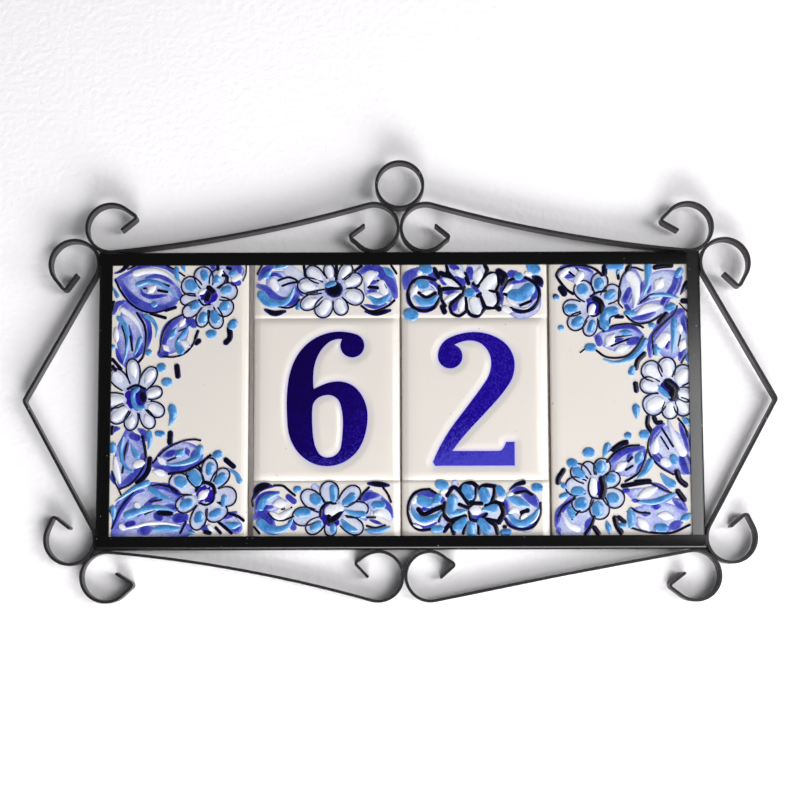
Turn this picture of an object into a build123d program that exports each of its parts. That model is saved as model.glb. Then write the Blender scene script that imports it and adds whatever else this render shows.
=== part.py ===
from build123d import *
from math import acos, atan2, cos, degrees, hypot, radians, sin, sqrt
import os

# House number plaque: a row of glazed relief tiles in a black frame of angle bars, with scrolls of
# flat strip welded around it and a ring to hang it by.
# Millimetres. X runs to the right as seen from the front, the front looks along -Y and Z is up.
# The origin is on the ring's axis, in the plane of the wall that the back of the plaque touches.

# Tiles: pressed clay, glazed on the front
tile_width = 75.2
tile_height = 149.4
tile_thickness = 6.5
tile_edge_round = 1.1
tile_corner_round = 0.8

# Joints of the tile row, from the left end of the frame to the right end
joint_left_end = 0.2
joint_left = 2.4
joint_middle = 0.5
joint_right = 0.9
joint_right_end = 1.2
joint_top = 0.6

# Number panel: a cushion that swells from the front of the two number tiles, in a groove that parts it
# from the band above and the band below
panel_side = 1.6
panel_groove = 0.4
panel_rise = 0.5
panel_slope = 60.0
panel_round = 1.2
band_above = 32.2
band_below = 33.7

# Numerals: pressed into the panel, drawn 69.1 mm tall and brought to their height
numeral_height = 69.1
numeral_depth = 0.9
numeral_drawn = 69.1

# Keys pressed into the back of each tile for its bed of sealant
key_count = 5
key_width = 6.0
key_depth = 0.7
key_margin = 9.0

# Frame bars: sheet bent to an angle, with a lip in front of the tiles and a web around them
frame_sheet = 1.5
frame_lip = 7.0
frame_bend = 2.0
frame_behind_tiles = 2.0

# Scrolls: flat strip bent on edge and welded to the frame with its back in the wall plane
strip_thickness = 1.5
strip_width = 8.0
curl_radius = 13.3
corner_inset = 5.3
bottom_meet = 1.8
apex_reach = 38.0
apex_bend = 2.2
tip_lead = 6.0
tip_bend = 1.4
tip_turn = 105.0
tip_length = 8.4

# Each curl goes on past its weld to the bar by its own angle, as the strips were bent by hand
top_left_turns = {"corner": 226.0, "centre": 44.0, "run_radius": 720.0}
top_right_turns = {"corner": 236.0, "centre": 41.0, "run_radius": 720.0}
bottom_left_turns = {"corner": 233.0, "centre": 34.0, "run_radius": 720.0}
bottom_right_turns = {"corner": 237.0, "centre": 42.0, "run_radius": 4000.0}
side_left_turns = {"upper": 219.0, "lower": 203.0}
side_right_turns = {"upper": 209.0, "lower": 206.0}

# Hanging ring: the same strip, welded in the cleft of the two curls at the top
ring_radius = 12.8

# Worked-out sizes of the frame and places of its faces
joints = [joint_left, joint_middle, joint_right]
row_width = 4 * tile_width + sum(joints)
frame_width = row_width + joint_left_end + joint_right_end + 2 * frame_sheet
frame_height = tile_height + joint_top + 2 * frame_sheet
frame_depth = frame_sheet + tile_thickness + frame_behind_tiles
half_width = frame_width / 2
half_height = frame_height / 2
tile_front = frame_sheet - frame_depth
tile_back = tile_front + tile_thickness
tile_bottom = frame_sheet - half_height
tile_top = tile_bottom + tile_height
panel_top = tile_top - band_above
panel_bottom = tile_bottom + band_below
panel_front = tile_front - panel_rise

# Worked-out places of the scrolls: every curl touches its bar and the curl beside it
strip_line = curl_radius - strip_thickness / 2
curl_out = half_height + curl_radius
corner_x = half_width - corner_inset
side_x = half_width + curl_radius
side_z = curl_out - sqrt((2 * curl_radius) ** 2 - (side_x - corner_x) ** 2)
ring_z = curl_out + sqrt((curl_radius + ring_radius) ** 2 - curl_radius**2)


def angle_bar(web, lip):
    """An angle bar along X with its web on Z = 0; web and lip are their (first, last) X."""
    section = Plane.YZ * Polyline(
        (-frame_depth, 0),
        (0, 0),
        (0, frame_sheet),
        (frame_sheet - frame_depth, frame_sheet),
        (frame_sheet - frame_depth, frame_lip),
        (-frame_depth, frame_lip),
        close=True,
    )
    profile = make_face(section)
    outer_corner = profile.vertices().sort_by_distance((0, -frame_depth, 0))[0]
    profile = fillet(outer_corner, frame_bend)
    bar = Pos(web[0], 0, 0) * extrude(profile, web[1] - web[0], dir=(1, 0, 0))
    # The lip and the bend stop short where the lip of the next bar crosses in front
    for end, lip_end in zip(web, lip):
        length = abs(lip_end - end)
        if length > 0:
            cope = Box(length, frame_sheet, 2 * frame_lip)
            bar -= Pos((end + lip_end) / 2, frame_sheet / 2 - frame_depth, 0) * cope
    return bar


def tile_blank(x):
    """A plain tile centred on x, with soft front edges and keys pressed into its back."""
    blank = Pos(x, tile_back, tile_bottom) * Box(
        tile_width, tile_thickness, tile_height, align=(Align.CENTER, Align.MAX, Align.MIN)
    )
    blank = fillet(blank.edges().filter_by(Axis.Y), tile_corner_round)
    blank = fillet(blank.faces().sort_by(Axis.Y)[0].edges(), tile_edge_round)
    key = Box(key_width, 2 * key_depth, tile_height - 2 * key_margin)
    key_pitch = (tile_width - 2 * key_margin) / (key_count - 1)
    for index in range(key_count):
        key_x = x + (index - (key_count - 1) / 2) * key_pitch
        blank -= Pos(key_x, tile_back, tile_bottom + tile_height / 2) * key
    return blank


def swing(*waypoints):
    """A smooth line through (point, direction) waypoints: two tangent arcs to a stretch, or a straight."""
    line = []
    for (start, start_way), (end, end_way) in zip(waypoints, waypoints[1:]):
        start = Vector(start)
        end = Vector(end)
        leave = Vector(start_way).normalized()
        arrive = Vector(end_way).normalized()
        chord = end - start
        turn = 2 * (1 - leave.dot(arrive))
        if turn < 1e-6:
            line.append(Line(start, end))
            continue
        along = chord.dot(leave + arrive)
        reach = (sqrt(along**2 + turn * chord.dot(chord)) - along) / turn
        meet = (start + end + (leave - arrive) * reach) / 2
        first = TangentArc(start, meet, tangent=leave)
        line += [first, TangentArc(meet, end, tangent=first % 1)]
    return line


def numeral_six():
    """The outline of a six with a ball at the end of its stroke."""
    ball = CenterArc((13.1, 27.4), 6.15, 148, 212)
    crotch = (-6.6, 5.1)
    outside = swing(
        (ball @ 1, (0, 1)),
        ((6.5, 34.6), (-1, 0)),
        ((-16.8, 19.0), (-0.43, -1)),
        ((-20.4, -2.5), (0, -1)),
        ((-15.6, -26.0), (0.7, -1)),
        ((0.2, -34.5), (1, 0)),
        ((18.0, -22.9), (0.45, 1)),
        ((20.9, -9.0), (0, 1)),
        ((5.9, 8.9), (-1, 0)),
        (crotch, (-1, -0.5)),
    )
    stem = swing((crotch, (-0.12, 1)), ((-4.2, 22.8), (0.5, 1)), (ball @ 0, (1, -0.15)))
    counter = swing(
        ((0.8, 1.9), (-1, 0)),
        ((-5.8, -0.9), (-0.8, -1)),
        ((-7.4, -8.5), (0, -1)),
        ((-6.5, -21.5), (0.17, -1)),
        ((0.5, -30.1), (1, 0)),
        ((8.3, -12.0), (0, 1)),
        ((0.8, 1.9), (-1, 0)),
    )
    return make_face([ball] + outside + stem) - make_face(counter)


def numeral_two():
    """The outline of a two with a ball at the start of its stroke and an upright serif on its foot."""
    ball = CenterArc((-12.5, 21.7), 6.3, 180, 250)
    foot_left = -20.5
    foot_right = 20.0
    foot_top = -27.0
    foot_bottom = -34.5
    serif_top = -22.4
    tip = (-21.6, -32.6)
    crotch = (-11.8, foot_top)
    outside = swing(
        (ball @ 0, (0, 1)),
        ((0.1, 34.2), (1, 0)),
        ((20.5, 17.3), (0, -1)),
        ((10.0, -2.3), (-0.92, -1)),
        (crotch, (-0.72, -1)),
    )
    serif = swing(((11.7, foot_top), (1, 0)), ((15.7, serif_top), (0.3, 1)))
    foot = [Line(crotch, serif[0] @ 0)] + serif
    heel = Polyline(
        serif[-1] @ 1, (foot_right, serif_top), (foot_right, foot_bottom), (foot_left, foot_bottom), tip
    )
    inside = swing(
        (tip, (0.4, 1)),
        ((-9.9, -12.0), (9.7, 12.7)),
        ((-0.2, 0.7), (9.7, 12.7)),
        ((8.5, 18.3), (0, 1)),
        ((-2.2, 29.8), (-1, 0)),
        (ball @ 1, (-1, -0.5)),
    )
    return make_face([ball] + outside + foot + [heel] + inside)


def number_tile(x, numeral):
    """A tile with a raised panel and a numeral pressed into the middle of it."""
    panel_middle = (panel_top + panel_bottom) / 2
    bed = Rectangle(tile_width - 2 * panel_side, panel_top - panel_bottom)
    groove_floor = Plane.XZ.offset(-tile_front - panel_groove) * Pos(x, panel_middle)
    groove = extrude(groove_floor * bed, panel_groove, dir=(0, -1, 0))
    panel = extrude(groove_floor * bed, panel_groove + panel_rise, dir=(0, -1, 0), taper=panel_slope)
    panel = fillet(panel.faces().sort_by(Axis.Y)[0].edges(), panel_round)
    outline = scale(numeral, numeral_height / numeral_drawn)
    face = Plane.XZ.offset(-panel_front) * Pos(x, panel_middle)
    pressed = extrude(face * outline, numeral_depth, dir=(0, 1, 0))
    return tile_blank(x) - groove + panel - pressed


def strip(path):
    """Flat strip bent along a path of the XZ plane, standing out from the wall by its width."""
    outline = offset(Wire(path), strip_thickness / 2, side=Side.BOTH)
    return extrude(Plane.XZ * make_face(outline), strip_width)


def curl_tip(curl, turn):
    """The end of a curl: a short straight, a sharp bend inwards and a straight tip."""
    lead = PolarLine(curl @ 1, tip_lead, direction=curl % 1)
    bend = JernArc(lead @ 1, lead % 1, tip_bend, turn * tip_turn)
    tip = PolarLine(bend @ 1, tip_length, direction=bend % 1)
    return [curl, lead, bend, tip]


def long_scroll(meet, turns):
    """The scroll above the right half of a frame, from its corner curl to the curl at X = meet."""
    corner = Vector(corner_x, curl_out)
    centre = Vector(meet + curl_radius, curl_out)
    # The run is an arc that has the corner curl inside it and the centre curl outside it
    run_radius = turns["run_radius"]
    span = corner.X - centre.X
    to_corner = run_radius - strip_line
    to_centre = run_radius + strip_line
    along = (to_corner**2 - to_centre**2 + span**2) / (2 * span)
    middle = corner + Vector(-along, sqrt(to_corner**2 - along**2))
    from_corner = corner + (corner - middle).normalized() * strip_line
    at_centre = middle + (centre - middle).normalized() * run_radius
    start = degrees(atan2(from_corner.Y - middle.Y, from_corner.X - middle.X))
    end = degrees(atan2(at_centre.Y - middle.Y, at_centre.X - middle.X))
    run = CenterArc((middle.X, middle.Y), run_radius, end, start - end)
    corner_curl = JernArc(run @ 1, run % 1, strip_line, start + 90 + turns["corner"])
    centre_curl = JernArc(run @ 0, -(run % 0), strip_line, end + 270 + turns["centre"])
    path = curl_tip(corner_curl, 1) + [run] + curl_tip(centre_curl, 1)
    return strip(path)


def side_scroll(turns):
    """The scroll beside the right end of the frame: a curl, a straight, a point and back again."""
    apex = Vector(half_width + apex_reach, 0)
    reach = hypot(apex.X - side_x, side_z)
    slant = degrees(atan2(-side_z, apex.X - side_x)) - degrees(acos(strip_line / reach))
    touch = Vector(side_x + strip_line * cos(radians(slant)), side_z + strip_line * sin(radians(slant)))
    legs = FilletPolyline((touch.X, touch.Y), (apex.X, apex.Y), (touch.X, -touch.Y), radius=apex_bend)
    upper_leg = legs.edges().sort_by(Axis.Y)[-1]
    lower_leg = legs.edges().sort_by(Axis.Y)[0]
    past_weld = -180 - slant
    rising = Vector(touch.X - apex.X, touch.Y)
    falling = Vector(touch.X - apex.X, -touch.Y)
    upper = JernArc((touch.X, touch.Y), rising, strip_line, past_weld - turns["upper"])
    lower = JernArc((touch.X, -touch.Y), falling, strip_line, turns["lower"] - past_weld)
    bend = legs.edges().filter_by(GeomType.CIRCLE)[0]
    return strip(curl_tip(upper, -1) + [upper_leg, bend, lower_leg] + curl_tip(lower, 1))


# The frame: the top and bottom bars reach the left end, the right bar reaches the top
top_bar = angle_bar((frame_sheet - half_width, half_width), (frame_lip - half_width, half_width))
bottom_bar = angle_bar((-half_width, half_width), (-half_width, half_width))
web_between = half_height - frame_sheet
lip_between = half_height - frame_lip
left_bar = angle_bar((-web_between, web_between), (-lip_between, lip_between))
right_bar = angle_bar((-web_between, half_height), (-lip_between, half_height))

# The middle of each tile, from the left end of the row
tile_x = [frame_sheet + joint_left_end - half_width + tile_width / 2]
for joint in joints:
    tile_x.append(tile_x[-1] + tile_width + joint)

# The ring is a hoop of strip
hoop = Circle(ring_radius) - Circle(ring_radius - strip_thickness)

nodes = {
    "frame_top_bar": Pos(0, 0, half_height) * Rot(0, 180, 0) * top_bar,
    "frame_bottom_bar": Pos(0, 0, -half_height) * bottom_bar,
    "frame_left_bar": Pos(-half_width, 0, 0) * Rot(0, 90, 0) * left_bar,
    "frame_right_bar": Pos(half_width, 0, 0) * Rot(0, -90, 0) * right_bar,
    "top_scroll_left": mirror(long_scroll(0, top_left_turns), Plane.YZ),
    "top_scroll_right": long_scroll(0, top_right_turns),
    "bottom_scroll_left": Rot(0, 180, 0) * long_scroll(-bottom_meet, bottom_left_turns),
    "bottom_scroll_right": mirror(long_scroll(bottom_meet, bottom_right_turns), Plane.XY),
    "side_scroll_left": mirror(side_scroll(side_left_turns), Plane.YZ),
    "side_scroll_right": side_scroll(side_right_turns),
    "hanging_ring": extrude(Plane.XZ * Pos(0, ring_z) * hoop, strip_width),
    "border_tile_left": tile_blank(tile_x[0]),
    "number_tile_six": number_tile(tile_x[1], numeral_six()),
    "number_tile_two": number_tile(tile_x[2], numeral_two()),
    "border_tile_right": tile_blank(tile_x[3]),
}

# Everything hangs from the ring, so the ring's axis becomes the origin
os.makedirs("parts", exist_ok=True)
for name, solid in nodes.items():
    export_step(Pos(0, 0, -ring_z) * solid, f"parts/{name}.step")
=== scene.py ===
from math import pi, radians

import bpy
import numpy as np
from mathutils import Matrix, Vector
from mathutils.bvhtree import BVHTree


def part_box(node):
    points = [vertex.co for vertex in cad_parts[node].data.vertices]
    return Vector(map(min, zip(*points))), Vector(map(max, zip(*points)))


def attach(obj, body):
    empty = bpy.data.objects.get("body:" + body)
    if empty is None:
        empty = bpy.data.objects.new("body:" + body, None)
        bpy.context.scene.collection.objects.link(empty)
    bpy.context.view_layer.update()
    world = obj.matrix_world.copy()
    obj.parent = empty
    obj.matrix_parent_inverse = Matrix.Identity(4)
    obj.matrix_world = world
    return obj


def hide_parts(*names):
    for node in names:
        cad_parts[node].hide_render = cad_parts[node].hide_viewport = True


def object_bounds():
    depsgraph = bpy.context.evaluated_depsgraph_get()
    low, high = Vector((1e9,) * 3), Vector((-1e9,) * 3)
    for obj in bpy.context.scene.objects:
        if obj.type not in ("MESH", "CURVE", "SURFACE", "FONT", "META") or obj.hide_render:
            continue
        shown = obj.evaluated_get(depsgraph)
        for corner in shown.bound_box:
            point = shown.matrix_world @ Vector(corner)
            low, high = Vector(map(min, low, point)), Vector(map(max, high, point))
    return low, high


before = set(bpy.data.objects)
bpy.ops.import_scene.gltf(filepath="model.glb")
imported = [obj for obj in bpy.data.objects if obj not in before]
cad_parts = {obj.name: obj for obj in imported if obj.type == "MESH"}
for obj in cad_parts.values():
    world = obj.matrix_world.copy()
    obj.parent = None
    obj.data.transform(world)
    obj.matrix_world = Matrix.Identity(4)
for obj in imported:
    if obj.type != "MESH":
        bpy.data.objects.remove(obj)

cad_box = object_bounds()


# Camera: it stands in front of the plaque's middle, a little below it, and looks up at it.
# Its place and turn are those that put the frame's four corners where the photograph has them.
mm = 0.001
photo_size = 800
focal_length = 1723
camera_place = Vector((-1.9, -882.6, -210.8)) * mm
camera_yaw = 0.002
camera_pitch = 0.1119
camera_roll = -0.0034
sensor_width = 36

across_wall = np.cos(camera_pitch)
ahead = Vector((np.sin(camera_yaw) * across_wall, np.cos(camera_yaw) * across_wall, np.sin(camera_pitch)))
level = Vector((np.cos(camera_yaw), -np.sin(camera_yaw), 0))
upright = level.cross(ahead)
camera_right = level * np.cos(camera_roll) + upright * np.sin(camera_roll)
camera_up = upright * np.cos(camera_roll) - level * np.sin(camera_roll)
bpy.ops.object.select_all(action="DESELECT")
bpy.ops.object.camera_add()
camera = bpy.context.object
camera.data.sensor_width = sensor_width
camera.data.lens = sensor_width * focal_length / photo_size
camera.matrix_world = Matrix.Translation(camera_place) @ Matrix(
    (camera_right, camera_up, -ahead)
).transposed().to_4x4()
bpy.context.scene.camera = camera
bpy.context.scene.view_settings.view_transform = "Standard"


# Frame bars: four angle bars bent from 1.5 mm sheet, butt-jointed and welded at the corners.
# They are painted satin black, and the paint softens each cut edge.
paint_edge = 0.22 * mm
edge_turn = radians(40)
smooth_turn = radians(32)
flat_turn = radians(0.6)
same_place = 0.002 * mm
cloud_dulling = 0.06
dust_dulling = 0.3


class Shade:
    """A socket of a material's nodes, which can be reckoned with as a number can."""

    def __init__(self, tree, socket=None):
        self.tree = tree
        self.socket = socket

    def add(self, kind, settings, sockets, output=0):
        """A new node: its settings are made first, and then its sockets are set or linked."""
        node = self.tree.nodes.new(kind)
        for name, value in settings.items():
            setattr(node, name, value)
        for name, value in sockets.items():
            if isinstance(value, Shade):
                self.tree.links.new(value.socket, node.inputs[name])
            else:
                node.inputs[name].default_value = value
        return Shade(self.tree, node.outputs[output])

    def reckon(self, operation, first, second):
        return self.add("ShaderNodeMath", {"operation": operation}, {0: first, 1: second})

    def __add__(self, other):
        return self.reckon("ADD", self, other)

    def __radd__(self, other):
        return self.reckon("ADD", other, self)

    def __sub__(self, other):
        return self.reckon("SUBTRACT", self, other)

    def __rsub__(self, other):
        return self.reckon("SUBTRACT", other, self)

    def __mul__(self, other):
        return self.reckon("MULTIPLY", self, other)

    def __rmul__(self, other):
        return self.reckon("MULTIPLY", other, self)


def linear(red, green, blue):
    """A colour as a screen shows it, from 0 to 255, as the linear colour that a shader takes."""
    shown = np.array((red, green, blue)) / 255
    light = np.where(shown <= 0.04045, shown / 12.92, ((shown + 0.055) / 1.055) ** 2.4)
    return (*light, 1)


def noise(shade, size, detail=2):
    """Cloudy values from 0 to 1 whose clouds are about this size."""
    place = shade.add("ShaderNodeTexCoord", {}, {}, "Object")
    return shade.add("ShaderNodeTexNoise", {}, {"Vector": place, "Scale": 1 / size, "Detail": detail})


def band(value, low, high):
    """The values from low to high spread out from 0 to 1."""
    steps = {"Value": value, "From Min": low, "From Max": high}
    return value.add("ShaderNodeMapRange", {"interpolation_type": "SMOOTHSTEP"}, steps)


def blend(share, first, second):
    """A colour between two others."""
    return share.add("ShaderNodeMix", {"data_type": "RGBA"}, {0: share, 6: first, 7: second}, 2)


def bumps(height, depth):
    """A surface that rises with height by up to this depth."""
    return height.add("ShaderNodeBump", {}, {"Height": height, "Distance": depth, "Strength": 1})


def material(name, constants):
    """A material with these constants on its shader, and a shade to begin its nodes with."""
    made = bpy.data.materials.new(name)
    made.use_nodes = True
    shader = made.node_tree.nodes["Principled BSDF"]
    for socket, value in constants.items():
        shader.inputs[socket].default_value = value
    return made, Shade(made.node_tree)


def feed(made, sockets):
    """Links shades to the sockets of a material's shader."""
    shader = made.node_tree.nodes["Principled BSDF"]
    for name, shade in sockets.items():
        made.node_tree.links.new(shade.socket, shader.inputs[name])


def black_paint(name, colour, roughness, shine):
    """Black paint: a fine orange peel, a faint cloud in its gloss and a few specks of dust."""
    made, shade = material(name, {"Specular IOR Level": shine})
    peel = noise(shade, size=0.9 * mm)
    cloud = noise(shade, size=18 * mm)
    dust = band(noise(shade, size=1.4 * mm, detail=0), low=0.83, high=0.86)
    feed(made, {
        "Base Color": blend(dust, colour, linear(110, 108, 106)),
        "Roughness": roughness + cloud_dulling * cloud + dust_dulling * dust,
        "Normal": bumps(peel, depth=0.005 * mm),
    })
    return made


def pick(piece):
    """Only this piece is selected, and it is the active one."""
    bpy.ops.object.select_all(action="DESELECT")
    piece.select_set(True)
    bpy.context.view_layer.objects.active = piece


def merged_copy(node, name):
    """A new piece with a node's shape, its loose triangles joined."""
    piece = bpy.data.objects.new(name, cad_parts[node].data.copy())
    piece.data.materials.clear()
    bpy.context.collection.objects.link(piece)
    pick(piece)
    bpy.ops.object.mode_set(mode="EDIT")
    bpy.ops.mesh.select_all(action="SELECT")
    bpy.ops.mesh.remove_doubles(threshold=same_place)
    bpy.ops.object.mode_set(mode="OBJECT")
    return piece


def painted_steel(node, paint, bend=None):
    """A node of the frame, bent where it needs it, with its cut edges softened, in black paint."""
    piece = merged_copy(node, "painted_" + node)
    if bend:
        bend(piece)
    bpy.ops.object.mode_set(mode="EDIT")
    bpy.ops.mesh.select_all(action="SELECT")
    bpy.ops.mesh.dissolve_limited(angle_limit=flat_turn)
    bpy.ops.object.mode_set(mode="OBJECT")
    bpy.ops.object.shade_smooth_by_angle(angle=smooth_turn)
    softening = piece.modifiers.new("soft_edges", "BEVEL")
    softening.width = paint_edge
    softening.segments = 2
    softening.limit_method = "ANGLE"
    softening.angle_limit = edge_turn
    softening.harden_normals = True
    bpy.ops.object.modifier_apply(modifier=softening.name)
    piece.data.materials.append(paint)
    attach(piece, "root")
    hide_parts(node)
    return piece


satin_black = black_paint("black_paint", linear(5, 5, 6), roughness=0.12, shine=0.38)
bars = {}
for side in ("top", "bottom", "left", "right"):
    bars[side] = painted_steel(f"frame_{side}_bar", satin_black)

# The right bar is bent a little too far, so that its lip leans back to the right and catches the lamp
lip_lean = np.tan(radians(6.3))
lip_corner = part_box("frame_right_bar")[0]
for vertex in bars["right"].data.vertices:
    if vertex.co.y < lip_corner.y / 2:
        vertex.co.y += lip_lean * (vertex.co.x - lip_corner.x)


# Tiles: four pressed clay tiles in a row behind the frame's lips, with soft front edges, a white glaze
# over their fronts and edges, and five keys pressed into their bare backs for the sealant.
# The two number tiles have a cushion in the middle with a numeral pressed into it.

# Lengths that aren't given in mm are in millimetres too, because the tiles are reckoned in them
tile_edge_round = 1.1
tile_corner_round = 0.8
key_count = 5
key_width = 6.0
key_depth = 0.7
key_margin = 9.0
flat_step = 2.4
relief_step = 0.7
shoulder_width = 3.6
shoulder_slope = 0.2
shoulder_curve = 0.02
shoulder_drop = shoulder_slope * shoulder_width + shoulder_curve * shoulder_width**2
edge_rows = 5
edge_steps = tile_edge_round * (1 - np.cos(np.linspace(0, pi / 2, edge_rows)))
edge_steps = np.concatenate((edge_steps, np.linspace(tile_edge_round, shoulder_width, edge_rows)[1:]))
glazed_edge = 1.6 * tile_edge_round
near_back = 0.01
hair = 1e-6

band_above = 32.2
band_below = 33.7
groove_width = 1.2
groove_depth = 0.65
cushion_rise = 1.15
cushion_slope = 4.2
side_fall = 0.9
side_slope = 10.0
numeral_depth = 0.9
glaze_pool = 0.4
numeral_slope = 4.2
floor_facing = -0.99
near_floor = 0.02
glaze_over_press = 0.05
bleed_reach = 0.75
bleed_strength = 0.75
pinhole_strength = 0.5
speck_strength = 0.16
patch_share = 0.25
speckle_middle = 0.62
# Painted shade and light on the numerals' blue: darker to the upper left, lighter to the lower right, where
# the lamps are
shade_middle = 0.62
light_run_across = 105 * mm
light_run_down = 200 * mm
lit_from = 17 * mm
lit_to = 42 * mm
lit_lean = 0.25
lit_fray = 40 * mm

tile_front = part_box("border_tile_left")[0].y / mm
tile_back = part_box("border_tile_left")[1].y / mm


def ease(share):
    """A soft step from 0 to 1."""
    share = np.clip(share, 0, 1)
    return share * share * (3 - 2 * share)


def rows(length, step):
    """Where the rows of a tile's front stand: close together round its two edges, and evenly between."""
    count = int((length - 2 * shoulder_width) / step)
    middle = np.linspace(shoulder_width, length - shoulder_width, count + 1)
    return np.concatenate((edge_steps[:-1], middle, length - edge_steps[-2::-1]))


def round_corner(x, z, radius):
    """How far points beside a square corner move in along X and Z, so that the corner is round."""
    across = np.maximum(radius - x, 0)
    along = np.maximum(radius - z, 0)
    reach = np.hypot(across, along)
    pull = np.where(reach > 0, np.maximum(across, along) / np.maximum(reach, hair), 1)
    both = (across > 0) & (along > 0)
    return np.where(both, across * (1 - pull), 0), np.where(both, along * (1 - pull), 0)


def select_faces(piece, wanted):
    """Selects the faces of the piece in edit mode that are wanted."""
    bpy.ops.object.mode_set(mode="OBJECT")
    for face in piece.data.polygons:
        face.select = wanted(face)
    bpy.ops.object.mode_set(mode="EDIT")


def close_back(piece, low, high):
    """Draws the border of a tile's front out to the back, closes it there, and cuts and sinks the keys."""
    bpy.ops.object.mode_set(mode="EDIT")
    bpy.ops.mesh.select_mode(type="EDGE")
    bpy.ops.mesh.select_all(action="DESELECT")
    bpy.ops.mesh.select_non_manifold(extend=False)
    bpy.ops.mesh.extrude_region_move()
    depth = (tile_back - tile_front - tile_edge_round - shoulder_drop) * mm
    bpy.ops.transform.translate(value=(0, depth, 0))
    bpy.ops.mesh.edge_face_add()
    middle = (low + high) / 2
    half_key = (high[2] - low[2]) / 2 - key_margin
    pitch = (high[0] - low[0] - 2 * key_margin) / (key_count - 1)
    key_middles = [middle[0] + (index - (key_count - 1) / 2) * pitch for index in range(key_count)]
    cuts = [((0, 0, 1), (0, 0, middle[2] + way * half_key)) for way in (-1, 1)]
    cuts += [((1, 0, 0), (at + way * key_width / 2, 0, 0)) for at in key_middles for way in (-1, 1)]
    bpy.ops.mesh.select_mode(type="FACE")
    for normal, place in cuts:
        bpy.ops.mesh.select_all(action="DESELECT")
        select_faces(piece, lambda face: face.center.y > (tile_back - near_back) * mm)
        bpy.ops.mesh.bisect(plane_co=Vector(place) * mm, plane_no=normal)
    bpy.ops.mesh.select_all(action="DESELECT")
    select_faces(
        piece,
        lambda face: face.center.y > (tile_back - near_back) * mm
        and abs(face.center.z / mm - middle[2]) < half_key
        and min(abs(face.center.x / mm - at) for at in key_middles) < key_width / 2,
    )
    bpy.ops.mesh.extrude_region_move()
    bpy.ops.transform.translate(value=(0, -key_depth * mm, 0))
    bpy.ops.object.mode_set(mode="OBJECT")


def pressed_tile(node, name, step, relief):
    """A tile of a node's size whose front stands out by relief(x, z) from its plain front, in mm."""
    low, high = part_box(node)
    low = np.array(low) / mm
    high = np.array(high) / mm
    columns = rows(high[0] - low[0], step)
    lines = rows(high[2] - low[2], step)
    bpy.ops.object.select_all(action="DESELECT")
    bpy.ops.mesh.primitive_grid_add(
        x_subdivisions=len(columns) - 1, y_subdivisions=len(lines) - 1, size=1, rotation=(pi / 2, 0, 0)
    )
    piece = bpy.context.object
    piece.name = name
    bpy.ops.object.transform_apply(location=True, rotation=True, scale=True)
    mesh = piece.data
    points = np.empty(len(mesh.vertices) * 3)
    mesh.vertices.foreach_get("co", points)
    points = points.reshape(-1, 3)
    column = np.rint((points[:, 0] + 0.5) * (len(columns) - 1)).astype(int)
    line = np.rint((points[:, 2] + 0.5) * (len(lines) - 1)).astype(int)
    x = columns[column]
    z = lines[line]
    from_side = np.minimum(x, columns[-1] - x)
    from_end = np.minimum(z, lines[-1] - z)
    edge = np.maximum(tile_edge_round - np.minimum(from_side, from_end), 0)
    drop = tile_edge_round - np.sqrt(tile_edge_round**2 - edge**2)
    fall = np.maximum(shoulder_width - np.minimum(from_side, from_end), 0)
    drop += shoulder_slope * fall + shoulder_curve * fall**2
    in_x, in_z = round_corner(from_side, from_end, tile_corner_round)
    x = x + in_x * np.sign(columns[-1] / 2 - x) + low[0]
    z = z + in_z * np.sign(lines[-1] / 2 - z) + low[2]
    height, bleed = relief(x, z)
    points = np.stack((x, tile_front + drop - height, z), 1) * mm
    mesh.vertices.foreach_set("co", points.ravel())
    mesh.attributes.new("bleed", "FLOAT", "POINT").data.foreach_set("value", bleed)
    mesh.update()
    close_back(piece, low, high)
    bpy.ops.object.shade_smooth_by_angle(angle=smooth_turn)
    return piece


def plain_front(x, z):
    """The front of a border tile has no relief."""
    return np.zeros(len(x)), np.zeros(len(x))


def numeral_field(node, name):
    """The top of the cobalt glaze that has pooled on the floor of a number tile's numeral."""
    field = merged_copy(node, name)
    panel_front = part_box(node)[0].y
    floor = panel_front + numeral_depth * mm
    bpy.ops.object.mode_set(mode="EDIT")
    bpy.ops.mesh.select_mode(type="FACE")
    bpy.ops.mesh.select_all(action="DESELECT")
    select_faces(
        field,
        lambda face: face.normal.y > floor_facing or abs(face.center.y - floor) > near_floor * mm,
    )
    bpy.ops.mesh.delete(type="FACE")
    bpy.ops.mesh.select_all(action="SELECT")
    bpy.ops.transform.translate(value=(0, -glaze_pool * mm, 0))
    bpy.ops.object.mode_set(mode="OBJECT")
    return field


def number_front(node, field):
    """The relief of a number tile: a groove, a cushion and the slopes round the pressed numeral."""
    low, high = (np.array(corner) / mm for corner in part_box(node))
    surface = BVHTree.FromPolygons(
        [vertex.co for vertex in field.data.vertices], [face.vertices for face in field.data.polygons]
    )
    floor = field.data.vertices[0].co.y

    def relief(x, z):
        from_side = np.minimum(x - low[0], high[0] - x)
        from_end = np.minimum(z - low[2] - band_below, high[2] - band_above - z)
        rise = 1 - np.clip(1 - from_end / cushion_slope, 0, 1) ** 2
        fall = np.clip(1 - from_side / side_slope, 0, 1) ** 2
        height = rise * (cushion_rise - side_fall * fall) - groove_depth * ease(1 + from_end / groove_width)
        away = np.array(
            [surface.find_nearest((px * mm, floor, pz * mm))[3] / mm for px, pz in zip(x, z)]
        )
        dip = (numeral_depth - glaze_pool + glaze_over_press) * (1 - ease(away / numeral_slope))
        return height - dip, np.exp(-away / bleed_reach)

    return relief


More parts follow.
